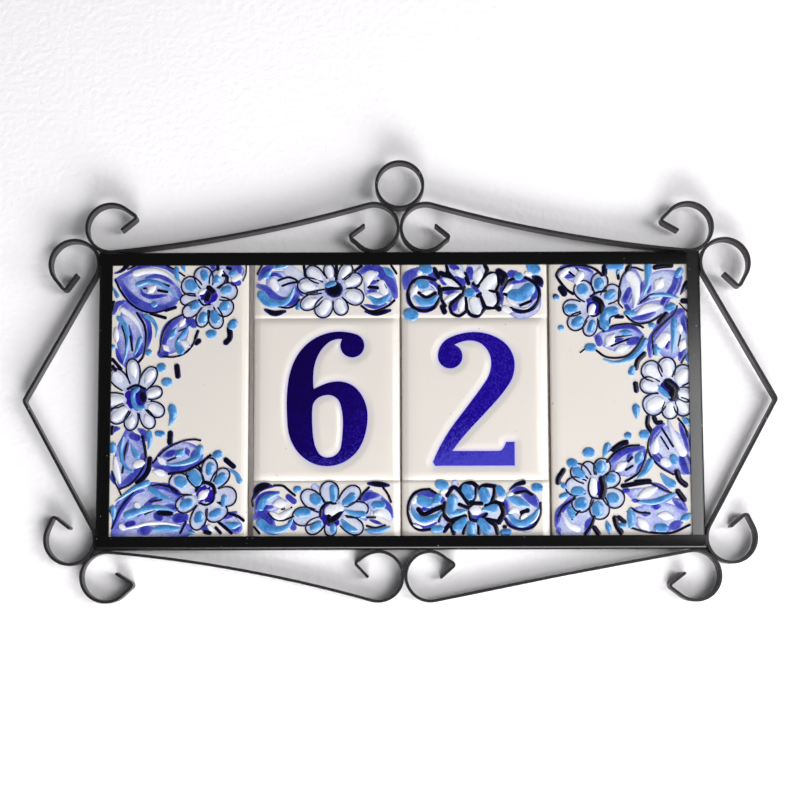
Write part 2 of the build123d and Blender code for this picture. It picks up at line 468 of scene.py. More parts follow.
def glaze():
    """Warm white tin glaze with a faint cloud, pinholes, and cobalt bled out beside a numeral."""
    made, shade = material("white_glaze", {"Roughness": 0.1, "Specular IOR Level": 0.36})
    cloud = noise(shade, size=30 * mm)
    pinhole = band(noise(shade, size=2.2 * mm, detail=0), low=0.84, high=0.87)
    plain = blend(cloud, linear(209, 203, 196), linear(203, 198, 192))
    bleed = shade.add("ShaderNodeAttribute", {"attribute_name": "bleed"}, {}, "Fac")
    tinted = blend(bleed_strength * bleed, plain, linear(150, 148, 214))
    ripple = noise(shade, size=9 * mm)
    feed(made, {
        "Base Color": blend(pinhole_strength * pinhole, tinted, linear(120, 105, 90)),
        "Normal": bumps(ripple, depth=0.06 * mm),
    })
    return made


def bare_clay():
    """Fired buff clay: grainy, matt and a little uneven in colour."""
    made, shade = material("bare_clay", {"Roughness": 0.85})
    cloud = noise(shade, size=12 * mm, detail=5)
    grain = noise(shade, size=0.8 * mm, detail=4)
    feed(made, {
        "Base Color": blend(cloud, linear(128, 116, 104), linear(150, 138, 126)),
        "Normal": bumps(grain, depth=0.12 * mm),
    })
    return made


def cobalt_glaze():
    """Cobalt glaze in the numerals, speckled, with painted shade to the upper left and painted light to the
    lower right.
    """
    made, shade = material("cobalt_glaze", {"Roughness": 0.12, "Specular IOR Level": 0.2})
    place = shade.add("ShaderNodeTexCoord", {}, {}, "Object")
    across = shade.add("ShaderNodeSeparateXYZ", {}, {"Vector": place}, "X")
    height = shade.add("ShaderNodeSeparateXYZ", {}, {"Vector": place}, "Z")
    low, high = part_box("number_tile_six")
    down = (low.z + high.z) / 2 - height
    grain = noise(shade, size=0.9 * mm, detail=3)
    speckle = patch_share * noise(shade, size=12 * mm, detail=4) + grain - speckle_middle
    # Painted shade and light: the blue darkens to the upper left and lightens to the lower right, towards
    # the lamps, over its speckle
    shade_and_speckle = shade_middle + across * (1 / light_run_across) + down * (1 / light_run_down) + speckle
    colour = blend(band(shade_and_speckle, low=0, high=1), linear(11, 0, 62), linear(23, 1, 124))
    light_and_speckle = down + lit_lean * across + lit_fray * speckle
    colour = blend(band(light_and_speckle, lit_from, lit_to), colour, linear(58, 54, 166))
    specks = speck_strength * band(grain, low=0.42, high=0.7) * band(shade_and_speckle, low=0.3, high=1.1)
    feed(made, {
        "Base Color": blend(specks, colour, linear(80, 74, 200)),
        "Normal": bumps(grain, depth=0.02 * mm),
    })
    return made


white_glaze = glaze()
clay = bare_clay()
numeral_glaze = cobalt_glaze()


def glaze_tile(piece):
    """Glaze on a tile's front and its rounded edge, and bare clay on its sides and back."""
    piece.data.materials.append(white_glaze)
    piece.data.materials.append(clay)
    for face in piece.data.polygons:
        face.material_index = 0 if face.center.y < (tile_front + glazed_edge) * mm else 1


tiles = {}
for place in ("left", "right"):
    node = f"border_tile_{place}"
    tiles[node] = pressed_tile(node, "glazed_" + node, flat_step, plain_front)
    glaze_tile(tiles[node])
for numeral in ("six", "two"):
    node = f"number_tile_{numeral}"
    field = numeral_field(node, "numeral_" + numeral)
    tiles[node] = pressed_tile(node, "glazed_" + node, relief_step, number_front(node, field))
    glaze_tile(tiles[node])
    field.data.materials.append(numeral_glaze)
    pick(field)
    tiles[node].select_set(True)
    bpy.context.view_layer.objects.active = tiles[node]
    bpy.ops.object.join()
for node, piece in tiles.items():
    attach(piece, "root")
    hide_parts(node)


# Enamel: brush strokes of coloured glaze, fired onto the tiles, that stand up from the white glaze.
# A stroke is given by its width and the points it passes through, in pixels of the photograph, and it
# lies on the tile where the lines of sight through those pixels meet the tile's front.

# The shape of a stroke gives the shares of its width at its start, its middle and its end
even = (1, 1, 1)
belly = (0.5, 1, 0.5)
lens = (0.04, 1, 0.04)
drop = (1, 0.8, 0.2)
swell = (0.3, 0.75, 1)
pad = (0.4, 1, 0.9)
short_stroke = 0.9
step_length = 0.55
fewest_steps = 4
most_steps = 48
span_steps = 12
dot_length = 0.1
end_steps = np.sin(np.linspace(0, pi / 2, 6))[1:]
round_steps = 8
upper_half = 0.01
enamel_sink = 0.04
order_lift = 0.0015
dome_power = 2.4
rim_width = 1.7
rim_turns = np.radians(np.linspace(-130, 130, 11))
petal_front = 0.5
petal_back = 0.64
petal_side = 0.97
petal_flare = 0.12
petal_root = 0.6
petal_end = 0.42
petal_fill = 0.94
gleam_width = 0.62
gleam_root = 0.2
least_dab_run = 0.1
soft_from = 0.22
soft_to = 0.78
edge_fray = 0.4
cloud_share = 0.65
mark_share = 0.35


def brush(paint, usual_shape):
    """What draws strokes in one paint, each from its width and the points that it passes through."""

    def stroke(width, *points, shape=usual_shape):
        return paint, width, shape, points

    return stroke


wash = brush("wash", lens)
haze = brush("haze", lens)
pale = brush("pale", even)
cobalt = brush("cobalt", belly)
deep = brush("deep", even)
white = brush("white", belly)
sky = brush("sky", belly)
black = brush("black", even)


def dab(paint, middle, way, length, breadth):
    """A dab of paint about a middle, so long along its way and so broad across it."""
    long_side, short_side = max(length, breadth), min(length, breadth)
    run = Vector(way) if length >= breadth else Vector((-way[1], way[0]))
    reach = run * max(long_side - short_side, least_dab_run) / 2
    return paint(short_side, Vector(middle) - reach, Vector(middle) + reach, shape=even)


def petal(heart, paint, middle, length, breadth, dab_at=None, dab_length=0, dab_breadth=0):
    """An outlined petal that points away from the flower's heart, white or with a sky-blue dab on it."""
    middle = Vector(middle)
    way = (middle - Vector(heart)).normalized()
    across = Vector((-way[1], way[0])) * breadth / 2
    rim = []
    for turn in rim_turns:
        along = np.cos(turn) * length * (petal_front if np.cos(turn) > 0 else petal_back)
        flare = petal_side + petal_flare * np.cos(turn)
        rim.append(middle + way * along + across * np.sin(turn) * flare)
    root = middle - way * petal_root * length
    tip = middle + way * (length / 2 - petal_end * breadth)
    made = [pale(petal_fill * breadth, root, tip, shape=pad), black(rim_width, *rim)]
    # On a white petal, a dab of white enamel along its middle towards the tip, which is also a painted
    # highlight
    if paint is white:
        made.append(white(gleam_width * breadth, middle - way * gleam_root * length, tip, shape=pad))
    if dab_breadth:
        made.append(dab(paint, dab_at, way, dab_length, dab_breadth))
    return made


def flower(heart, paint, *petals):
    """The petals round a flower's heart: the middle, length and breadth of each, and those of its dab."""
    return [stroke for sizes in petals for stroke in petal(heart, paint, *sizes)]


def enamel(name, edge, dark, light, cloud_size, roughness=0.1, shine=0.5):
    """Coloured glaze that is darker and lighter in clouds and brush marks, and thins at its edges."""
    made, shade = material(name, {"Roughness": roughness, "Specular IOR Level": shine})
    cloud = band(noise(shade, size=cloud_size * mm, detail=3), low=0.3, high=0.7)
    marks = noise(shade, size=1.1 * mm)
    depth = shade.add("ShaderNodeAttribute", {"attribute_name": "glaze_depth"}, {}, "Fac")
    cover = band(depth + edge_fray * marks - edge_fray / 2, soft_from, soft_to)
    lightness = cloud_share * cloud + mark_share * band(marks, low=0.35, high=0.7)
    core = blend(lightness, linear(*dark), linear(*light))
    feed(made, {
        "Base Color": blend(cover, linear(*edge), core),
        "Normal": bumps(noise(shade, size=1.5 * mm), depth=0.02 * mm),
    })
    return made


# For each paint: how high it stands, how far it is lifted over the paints before it, and its glaze,
# with the colours of its edge, its dark clouds and its light ones, and the size of the clouds
paints = {
    "wash": (0.05, 0.01, enamel("lavender_wash", (80, 84, 180), (118, 125, 190), (182, 187, 213), 6)),
    "haze": (0.05, 0.01, enamel("lavender_haze", (110, 118, 192), (142, 150, 200), (193, 198, 215), 6)),
    "pale": (0.12, 0.06, enamel("pale_petal_glaze", (148, 155, 194), (162, 168, 199), (196, 200, 211), 7)),
    "cobalt": (0.16, 0.1, enamel("cobalt_enamel", (96, 104, 188), (24, 22, 128), (70, 77, 170), 6)),
    "deep": (0.16, 0.12, enamel("deep_cobalt", (42, 34, 158), (12, 3, 100), (40, 24, 158), 5, 0.06)),
    "white": (0.5, 0.12, enamel("white_enamel", (164, 170, 200), (198, 201, 211), (220, 220, 225), 8)),
    "sky": (0.8, 0.12, enamel("sky_enamel", (110, 158, 204), (40, 102, 164), (84, 144, 198), 5, 0.05)),
    "black": (0.25, 0.2, enamel("black_enamel", (44, 44, 118), (3, 3, 12), (11, 11, 30), 4, 0.14, 0.22)),
}


def on_tile(pixel):
    """Where the line of sight through a pixel of the photograph meets the front of the tiles, in mm."""
    across = pixel[0] - photo_size / 2
    down = pixel[1] - photo_size / 2
    sight = ahead * focal_length + camera_right * across - camera_up * down
    met = camera_place + sight * (tile_front * mm - camera_place.y) / sight.y
    return np.array((met.x, met.z)) / mm


pixel_size = on_tile((photo_size / 2 + 1, photo_size / 2))[0] - on_tile((photo_size / 2, photo_size / 2))[0]


def smooth_line(points):
    """A smooth line through points, a Catmull-Rom curve, as short steps of one length."""
    points = np.array(points)
    if len(points) == 1:
        points = points + np.array(((-dot_length / 2, 0), (dot_length / 2, 0)))
    around = np.vstack((2 * points[0] - points[1], points, 2 * points[-1] - points[-2]))
    share = np.linspace(0, 1, span_steps, endpoint=False)[:, None]
    spans = []
    for before, start, end, after in zip(around, around[1:], around[2:], around[3:]):
        bend = 2 * before - 5 * start + 4 * end - after
        twist = 3 * start - before - 3 * end + after
        spans.append(start + ((end - before) * share + bend * share**2 + twist * share**3) / 2)
    line = np.vstack((*spans, points[-1]))
    gone = np.concatenate(((0,), np.cumsum(np.hypot(*np.diff(line, axis=0).T))))
    count = int(np.clip(gone[-1] / step_length, fewest_steps, most_steps))
    steps = np.linspace(0, gone[-1], count + 1)
    return np.stack([np.interp(steps, gone, line[:, axis]) for axis in (0, 1)], 1), gone[-1]


def lay_stroke(curve, width, shape, points):
    """Adds a stroke to a curve: its line, and the half of its width along it, with round ends."""
    line, length = smooth_line([on_tile(point) for point in points])
    share = np.linspace(0, 1, len(line))
    start, middle, end = shape if length > short_stroke * width * pixel_size else even
    # Along the line the width follows a parabola through its shares at the start, the middle and the end
    swelling = 4 * middle * share * (1 - share)
    tapering = (start * (1 - share) - end * share) * (1 - 2 * share)
    half = width * pixel_size / 2 * (swelling + tapering)
    # The line gets a round cap at its end and is turned about, twice
    for _ in range(2):
        outwards = (line[-1] - line[-2]) / np.hypot(*(line[-1] - line[-2]))
        cap = line[-1] + outwards * half[-1] * end_steps[:, None]
        line = np.vstack((line, cap))[::-1]
        half = np.concatenate((half, half[-1] * np.sqrt(1 - end_steps**2)))[::-1]
    spline = curve.splines.new("POLY")
    spline.points.add(len(line) - 1)
    places = np.stack((line[:, 0], np.zeros(len(line)), line[:, 1], np.ones(len(line))), 1)
    spline.points.foreach_set("co", places.ravel())
    spline.points.foreach_set("radius", half)
    return half


def lay_coat(node, paint, strokes):
    """All of a tile's strokes in one paint, as low domes that stand on the tile."""
    peak, lift, finish = paints[paint]
    curve = bpy.data.curves.new(f"{paint}_{node}", "CURVE")
    curve.dimensions = "3D"
    curve.bevel_depth = 1
    curve.bevel_resolution = round_steps
    halves = [lay_stroke(curve, *stroke[1:]) for stroke in strokes]
    coat = bpy.data.objects.new(curve.name, curve)
    bpy.context.collection.objects.link(coat)
    pick(coat)
    bpy.ops.object.convert(target="MESH")
    coat = bpy.context.object
    places = np.empty(len(coat.data.vertices) * 3)
    coat.data.vertices.foreach_get("co", places)
    places = places.reshape(-1, 3)
    ring = len(places) // sum(map(len, halves))
    half = np.maximum(np.repeat(np.concatenate(halves), ring), hair)
    order = np.repeat(np.arange(len(halves)), [len(part) * ring for part in halves])
    out = -places[:, 1] / half
    dome = peak * (1 - np.exp(-half / peak)) * np.clip(out, 0, 1) ** dome_power
    places[:, 1] = tile_front - np.where(out > upper_half, lift + order_lift * order + dome, -enamel_sink)
    coat.data.vertices.foreach_set("co", (places * mm).ravel())
    widest = np.repeat([part.max() for part in halves], [len(part) * ring for part in halves])
    depth = np.clip(out, 0, 1) * half / widest
    coat.data.attributes.new("glaze_depth", "FLOAT", "POINT").data.foreach_set("value", depth)
    coat.data.materials.append(finish)

    # The lower half of each stroke is inside the tile
    bpy.ops.object.mode_set(mode="EDIT")
    bpy.ops.mesh.select_mode(type="VERT")
    bpy.ops.mesh.select_all(action="DESELECT")
    bpy.ops.object.mode_set(mode="OBJECT")
    coat.data.vertices.foreach_set("select", out < -upper_half)
    bpy.ops.object.mode_set(mode="EDIT")
    bpy.ops.mesh.delete(type="VERT")
    bpy.ops.object.mode_set(mode="OBJECT")
    return coat


def fire(node, strokes):
    """Lays a tile's strokes in each paint, trims them at the frame's lips and joins them to the tile."""
    coats = []
    for paint in paints:
        chosen = [stroke for stroke in strokes if stroke[0] == paint]
        if chosen:
            coats.append(lay_coat(node, paint, chosen))
    bpy.ops.object.select_all(action="DESELECT")
    for coat in coats:
        coat.select_set(True)
    bpy.context.view_layer.objects.active = coats[0]
    bpy.ops.object.join()
    bpy.ops.object.mode_set(mode="EDIT")
    bpy.ops.mesh.select_all(action="SELECT")
    bpy.ops.mesh.remove_doubles(threshold=same_place)
    window_low = (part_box("frame_left_bar")[1].x, 0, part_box("frame_bottom_bar")[1].z)
    window_high = (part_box("frame_right_bar")[0].x, 0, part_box("frame_top_bar")[0].z)
    for place, way in ((window_low, -1), (window_high, 1)):
        for axis in ((1, 0, 0), (0, 0, 1)):
            bpy.ops.mesh.select_all(action="SELECT")
            bpy.ops.mesh.bisect(plane_co=place, plane_no=Vector(axis) * way, clear_outer=True)
    bpy.ops.mesh.select_all(action="SELECT")
    bpy.ops.mesh.normals_make_consistent(inside=False)
    bpy.ops.object.mode_set(mode="OBJECT")
    bpy.ops.object.shade_smooth()
    tiles[node].select_set(True)
    bpy.context.view_layer.objects.active = tiles[node]
    bpy.ops.object.join()


# Left border tile: leaves in the corners and along the side, two sky-blue flowers and a white one.
# They are painted freehand in cobalt, sky blue and white enamel, outlined in black and fired on.
left_upper_leaf = [
    wash(41, (115.5, 279), (136.5, 283.5), (162.5, 290.5), (183.5, 298)),
    cobalt(5.6, (125.5, 276), (137.5, 268), (153, 264.5), (166, 267.5), (175, 274)),
    cobalt(9.4, (121, 282.5), (128, 293.5), (138.5, 303), (151, 308), (164.5, 308), (175.5, 302.5)),
    cobalt(5.6, (146, 278), (158.5, 276), (168, 280), (173, 284)),
    cobalt(5, (141, 290), (143.5, 294.5), (151, 297), (166.5, 295.5)),
    white(7, (135.5, 273.5), (146, 271), (158.5, 271.5), (170, 276.5), (180.5, 288.5), shape=drop),
    white(8, (148.5, 292), (154.5, 286.5)),
    sky(5.5, (138, 284.5), (148, 281.5), (159.5, 283.5), (169, 289.5), (178.5, 298), shape=drop),
    sky(6.5, (154.5, 304.5)),
    black(4.8, (115, 273.5), (121.5, 271), (127.5, 265.5), shape=swell),
    black(1.9, (128, 269.5), (137.5, 265.5), (151, 263), (163.5, 264.5), (175, 270), (184.5, 276)),
    black(2.3, (115.5, 280), (120.5, 290.5), (129, 302), (139.5, 309.5), (152, 313), (164.5, 310.5),
          (175.5, 307.5)),
    black(3.6, (166, 310.5), (175.5, 307.5)),
    black(3.4, (150.5, 313.5), (158.5, 316), (165.5, 318)),
    black(2.3, (155.5, 281.5), (169, 286)),
    black(3, (158.5, 290.5), (167, 292)),
    black(2.3, (144, 288.5), (146, 288.5)),
]
left_side_leaf = [
    wash(33, (123, 300), (131, 316), (132.5, 333.5), (125, 367)),
    cobalt(6.2, (114, 313.5), (117, 305), (124.5, 302)),
    cobalt(5, (139.5, 314), (148, 322), (150, 336.5), (146.5, 349)),
    cobalt(6.2, (143, 344), (140, 351.5), (134.5, 358.5)),
    cobalt(3, (129, 325.5), (131.5, 336.5), (132.5, 350.5)),
    cobalt(5, (116.5, 349.5), (119.5, 358.5), (124, 365)),
    white(6, (122.5, 310), (132, 317), (138.5, 326), (142.5, 337.5), shape=drop),
    white(6.5, (116, 329), (116.5, 341)),
    sky(5.5, (119, 318.5), (124.5, 325), (127.5, 336.5), (126.5, 350.5), (123, 365), shape=drop),
    sky(6, (140, 340), (137.5, 348), (135, 355), shape=drop),
    sky(5, (113, 347)),
    black(1.8, (122, 326), (125.5, 339), (126, 351.5), (124.5, 359.5)),
    black(2.5, (137, 313), (144.5, 326), (146, 341), (143.5, 355.5), (139, 362)),
    black(2.4, (130.5, 336.5), (132.5, 350.5)),
    black(3, (114, 302), (113, 310)),
    black(3.6, (112.5, 359.5), (121, 369)),
    black(3.6, (113, 366.5), (115.5, 370.5)),
]
left_inner_leaf = [
    wash(25, (186.5, 314.5), (177.5, 331.5), (171, 344), (161.5, 355)),
    cobalt(10, (180.5, 317.5), (169, 326.5), (164, 339), (162.5, 350.5)),
    cobalt(8.8, (189.5, 321), (194, 324)),
    cobalt(10, (162, 353.5), (164.5, 353.5)),
    white(6.5, (180, 325.5), (184.5, 319.5)),
    white(7, (181.5, 341.5), (189, 346.5)),
    white(6.5, (163.5, 346), (168.5, 350.5)),
    sky(5, (189, 326.5), (181.5, 336.5), (177, 341.5)),
    sky(7, (175.5, 330), (170, 337.5)),
    sky(9, (177.5, 341.5), (178, 347), (180.5, 350.5), shape=swell),
    black(2.2, (183, 314.5), (170, 322), (163, 334.5), (159.5, 353)),
    black(2.2, (163.5, 356.5), (174, 357), (184.5, 353.5), (192, 346), (196, 337.5)),
    black(2.4, (189, 326), (178, 339)),
    black(1.7, (185.5, 328.5), (179, 331.5)),
    black(3.4, (198, 331.5), (195.5, 338.5)),
    black(5.4, (196.5, 343), (199, 341)),
]
left_strays = [
    sky(6, (176.5, 269.5), (177, 277), (180.5, 283), shape=drop),
    sky(5, (182, 264.5), (185.5, 272), shape=drop),
    sky(4.5, (113, 287), (117.5, 296.5), shape=swell),
    sky(5, (146, 316), (153, 321), (157, 329.5), (156, 337.5), shape=drop),
    sky(7.2, (148.5, 352.5)),
    sky(9.6, (233.5, 323.5), (232, 325.5)),
    sky(9.3, (210.5, 334), (212.5, 334)),
    sky(9.8, (161.5, 367.5)),
    sky(9.3, (166, 382), (168, 382)),
    black(6, (229.5, 329), (230, 337.5), (226, 342.5)),
    black(6, (177, 366.5), (178, 376)),
    sky(9, (172, 408.5), (173, 416), (169.5, 425.5), shape=drop),
    sky(6.5, (158, 433.5), (162, 434)),
    sky(6.5, (149, 433.5), (150, 440), (148.5, 449.5), shape=drop),
    sky(9.4, (217, 455), (218, 454.5)),
    sky(6, (228, 469), (236, 474), (239.5, 481), shape=swell),
    black(6, (170.5, 433.5), (170, 442.5)),
    black(5.5, (226, 460), (233.5, 466.5)),
    black(5.5, (150, 459), (148.5, 469.5), (143.5, 477.5), (137.5, 482.5)),
]
left_upper_flower = flower(
    (209.5, 296), sky,
    ((191.5, 286.5), 20, 19, (191.5, 285.5), 14, 12.5),
    ((204, 278), 22, 19, (204.5, 275.5), 12, 8.5),
    ((217.5, 279), 19, 16, (216.5, 279.5), 10, 9),
    ((227, 292), 21, 18, (226.5, 290), 12, 9),
    ((224, 307), 19, 19, (224.5, 306.5), 11, 12),
    ((215.5, 318), 22, 15, (215, 317), 15, 10),
    ((203, 317.5), 20, 13, (203, 318), 13, 9.5),
    ((192, 309.5), 21, 14, (195, 305.5), 12, 9),
    ((189, 299.5), 17, 12),
) + [
    deep(17, (208, 295.5), (210, 296)),
    black(7, (208.5, 295), (207, 299)),
    black(6, (209, 288), (213, 291.5)),
    white(7, (199.5, 293.5), (205, 290)),
    black(2.2, (199, 300), (203.5, 305), (210, 304.5)),
]
left_upper_bud = [
    wash(14, (211, 266.5), (224.5, 270.5), (237.5, 271.5), shape=even),
    cobalt(7.5, (229.5, 266), (238, 267.5), (240, 273)),
    cobalt(6.2, (233.5, 283.5), (238.5, 283)),
    cobalt(5, (211, 266.5), (215, 268.5)),
    sky(7, (232, 273.5), (234, 272.5)),
    white(5.5, (219.5, 274), (221, 271)),
    white(7.5, (234.5, 279), (238.5, 276.5)),
    black(4.1, (228, 268), (230.5, 269)),
    black(3.6, (218, 265.5), (218, 269.5)),
    black(3.1, (223, 275.5), (227, 276.5), (227.5, 282.5)),
    black(1.4, (246.5, 266), (246, 274), (243, 281)),
]
left_white_flower = flower(
    (136.5, 399), white,
    ((114.5, 400.5), 22, 16),
    ((119.5, 414), 23, 17),
    ((131.5, 420.5), 20, 14),
    ((147.5, 419.5), 20, 14),
    ((155.5, 409.5), 19, 15),
) + flower(
    (136.5, 398.5), white,
    ((154, 393), 17, 13),
    ((148.5, 378), 24, 15),
    ((133.5, 372), 26, 14),
    ((119.5, 379.5), 24, 16),
) + [
    deep(11, (130, 395.5), (131.5, 403.5)),
    deep(16, (136.5, 393), (137.5, 403)),
    deep(8, (143, 392), (143.5, 398.5)),
    sky(5.2, (137.5, 389), (133.5, 393), (133.5, 401.5), (137, 407.5), (142.5, 408), shape=even),
    black(8, (141.5, 391), (143.5, 398.5), (143.5, 403), shape=belly),
    black(3, (128, 389), (136.5, 385.5), (145, 389)),
]
left_lower_leaf = [
    wash(34, (127, 428), (130, 443), (130, 464), (119.5, 488.5)),
    cobalt(6.2, (111.5, 433.5), (114, 429.5), (119, 428.5)),
    cobalt(6.9, (139, 429.5), (144, 433.5), (146, 440)),
    cobalt(7.5, (132.5, 436), (137.5, 438)),
    cobalt(11, (143, 456), (142.5, 466), (135.5, 475.5), (123, 484.5)),
    cobalt(5.6, (128.5, 441), (125.5, 450.5), (121, 461)),
    cobalt(6.2, (112, 473.5), (114.5, 483)),
    white(7, (115, 458), (116.5, 469.5), (119.5, 482.5)),
    white(9, (137, 464.5), (141, 463.5)),
    sky(4.8, (123.5, 437.5), (121, 448.5), (122.5, 460), (127, 468.5), (132.5, 471.5)),
    sky(7, (131.5, 444.5), (133.5, 449.5), (136.5, 455.5), shape=swell),
    sky(7.5, (113, 446), (113, 450)),
    black(3.6, (111.5, 448), (112.5, 449.5)),
    black(2.6, (127.5, 444), (124.5, 456), (124, 464), (122.5, 472.5)),
    black(3.1, (142.5, 436.5), (145, 448.5), (146, 457)),
    black(2.4, (146, 457), (142.5, 469), (132, 483), (120.5, 489)),
    black(1.8, (112, 471.5), (115, 482), (118.5, 489), (121, 495)),
    black(4.2, (112.5, 427.5), (111.5, 433.5)),
]
left_long_leaf = [
    wash(24, (152, 466), (168, 457), (186.5, 451.5), (202.5, 450.5)),
    cobalt(8.8, (153.5, 465.5), (162.5, 468.5), (181.5, 469), (196, 463.5), (201.5, 456)),
    cobalt(7.5, (165, 456), (176, 451.5)),
    cobalt(6.2, (186.5, 449), (188.5, 454.5)),
    cobalt(5.6, (195.5, 450.5), (191.5, 458.5)),
    white(7, (158.5, 458), (165, 464)),
    white(8, (154.5, 471.5), (165.5, 474)),
    sky(7.5, (177, 455.5), (183, 450.5)),
    sky(7.5, (200, 448.5), (197, 457), (186.5, 462.5), (172, 465), (167.5, 464), shape=drop),
    black(2.2, (168, 461), (175.5, 458)),
    black(2.2, (152.5, 463.5), (164.5, 450.5), (180.5, 442), (193, 439.5), (200.5, 440.5)),
    black(3, (169, 474), (184.5, 471.5), (197, 465.5), (203.5, 461), (210.5, 455.5)),
    black(2.4, (198.5, 466), (201.5, 470.5)),
]
left_bottom_leaf = [
    wash(46, (112, 530), (133.5, 511), (158.5, 502), (186.5, 502)),
    wash(28, (117.5, 533.5), (143.5, 529), (166, 528), (185.5, 530), shape=belly),
    cobalt(6.2, (112.5, 529), (120.5, 510), (132.5, 494.5), (143.5, 490.5)),
    cobalt(8.1, (152, 487.5), (164.5, 486.5), (176, 492), (183, 499)),
    cobalt(6.2, (138.5, 516), (150, 502.5), (158.5, 497)),
    cobalt(11, (177.5, 518.5), (183.5, 517.5)),
    cobalt(8.8, (157.5, 516), (159.5, 517.5)),
    cobalt(7.5, (128, 525), (132.5, 524)),
    cobalt(6.2, (166, 506), (177.5, 508.5)),
    cobalt(11, (139.5, 531.5), (151, 529)),
    white(6.5, (137, 505), (139, 508)),
    white(6, (121.5, 526.5), (123.5, 528)),
    white(4, (124, 529), (135.5, 526.5), (148, 523.5), (162.5, 523), (179.5, 525.5)),
    sky(7, (151.5, 489), (160.5, 495.5), (174.5, 502.5), shape=drop),
    sky(6.5, (147, 483), (133.5, 489), (116, 501.5), shape=drop),
    sky(8.5, (128, 515), (138.5, 511), (153, 508), (166, 508.5), (175.5, 512), shape=drop),
    sky(7.5, (154, 529.5), (164.5, 528), (178.5, 529)),
    sky(7, (113, 509), (113.5, 519.5), shape=drop),
    black(3.1, (111, 511), (111.5, 512.5)),
    black(2.4, (151, 486.5), (160.5, 485), (171, 487.5), (177.5, 491.5)),
    black(6, (159.5, 513), (170.5, 513.5)),
    black(2.3, (151, 502), (161.5, 500)),
    black(1.8, (145, 514.5), (156.5, 509.5)),
    black(1.8, (112, 528.5), (120.5, 509), (133.5, 492.5)),
    black(2.4, (186, 522), (180.5, 533)),
]
left_lower_flower = flower(
    (206.5, 494.5), sky,
    ((181.5, 484), 25, 21, (181, 482), 14, 12),
    ((195.5, 477.5), 22, 15, (195, 478), 18, 12),
    ((209.5, 470.5), 25, 16, (210, 469), 14, 9),
    ((220.5, 478), 22, 15, (220.5, 479), 15, 10),
    ((226.5, 496.5), 20, 20, (224, 501), 7, 13),
    ((216.5, 512.5), 18, 23, (215.5, 513.5), 9, 14),
    ((199, 517.5), 26, 16, (199, 517.5), 13, 10),
    ((186, 504), 21, 17, (186.5, 504), 14, 11),
) + [
    deep(19, (205.5, 494), (207, 495)),
    black(4.1, (196.5, 490.5), (199.5, 485), (205.5, 482.5), (213, 486), (215, 492.5)),
    black(2.4, (215, 492.5), (213, 501), (206.5, 505), (199.5, 503)),
    white(10, (199.5, 498), (207, 491.5)),
]
left_lower_bud = [
    wash(14, (222.5, 518.5), (230.5, 521.5), (235.5, 527), shape=even),
    cobalt(6.2, (223.5, 518.5), (229.5, 515.5), (236, 512.5)),
    cobalt(7.5, (232, 530), (240, 528)),
    cobalt(7.5, (204.5, 528), (206.5, 529)),
    sky(8, (227.5, 524), (232, 525.5), (238.5, 524.5)),
    sky(5, (188.5, 532), (194, 533)),
    white(5, (209.5, 527), (211, 529)),
    black(3.1, (228, 513), (238, 516.5), (243.5, 520.5)),
    black(3.4, (219, 522.5), (231.5, 533)),
    black(3.4, (216, 528), (220.5, 533)),
    black(4.8, (205.5, 532), (209.5, 533)),
]
left_painting = (
    left_upper_leaf + left_side_leaf + left_inner_leaf + left_strays + left_upper_bud + left_upper_flower
    + left_lower_leaf + left_long_leaf + left_white_flower + left_bottom_leaf + left_lower_bud
    + left_lower_flower
)
fire("border_tile_left", left_painting)


# Tile of the six: a white flower between two buds above the panel, and a sky-blue one below it.
# The enamel of the petals is laid on thickly, so that it stands up from the white glaze.
six_upper_buds = [
    haze(31, (267, 273), (282, 286), (297, 295.5)),
    haze(36, (365, 273), (379.5, 286), (390.5, 301.5)),
    pale(13, (289.5, 271), (298, 276.5)),
    cobalt(8, (260, 279), (264, 271.5), (272.5, 266.5)),
    cobalt(4.1, (268, 277), (275.5, 274.5), (283, 278)),
    cobalt(9.2, (258.5, 286), (266, 289), (274.5, 297.5), (283, 301), (292.5, 299), (298, 294.5)),
    cobalt(5.2, (284, 305.5), (294.5, 302), (299, 295.5)),
    cobalt(11, (360, 273), (368, 268.5), (376.5, 269.5), (385, 276.5), (392.5, 286), (395.5, 296.5)),
    cobalt(5.2, (368.5, 283.5), (377, 281.5)),
    cobalt(5.2, (368, 291.5), (376, 291)),
    cobalt(4.4, (365, 305), (375.5, 307), (386, 304)),
    white(8.5, (273, 282), (275.5, 287.5)),
    white(11, (367, 284.5), (369, 276), (376, 273.5)),
    white(9, (381.5, 284), (384, 291)),
    white(6.5, (367.5, 295), (381.5, 295.5)),
    sky(6.5, (264, 278), (270, 272)),
    sky(5.6, (274.5, 268), (287, 265.5)),
    sky(10, (262, 295.5), (268, 302), (281, 303.5), (289.5, 298.5), (294, 288.5), shape=drop),
    sky(5.2, (299, 302.5), (298, 308), shape=swell),
    sky(7.3, (385, 268.5), (392.5, 276)),
    sky(7.7, (370, 296.5), (377.5, 302), (384.5, 299.5), (389, 296)),
    black(2.5, (278.5, 280.5), (288, 277.5), (294.5, 279), (299, 282.5)),
    black(2.5, (282.5, 286), (289.5, 283.5), (296.5, 282.5)),
    black(2.6, (258, 274), (262, 266)),
    black(2.3, (278.5, 306.5), (288, 308), (295.5, 305), (299.5, 299.5)),
    black(6.2, (265.5, 310), (274.5, 313.5), (285, 311.5), shape=belly),
    black(3.9, (369, 287), (377.5, 288)),
    black(2.1, (377.5, 280.5), (383, 282.5), (386, 288)),
    black(2.5, (361.5, 306), (369, 311), (377.5, 310.5), (388, 306), (394.5, 300.5)),
    black(6.2, (366, 311.5), (376.5, 313), (390, 310.5), shape=belly),
    black(2.5, (391.5, 266), (396.5, 273.5)),
    black(3.1, (355, 271), (361.5, 266)),
]
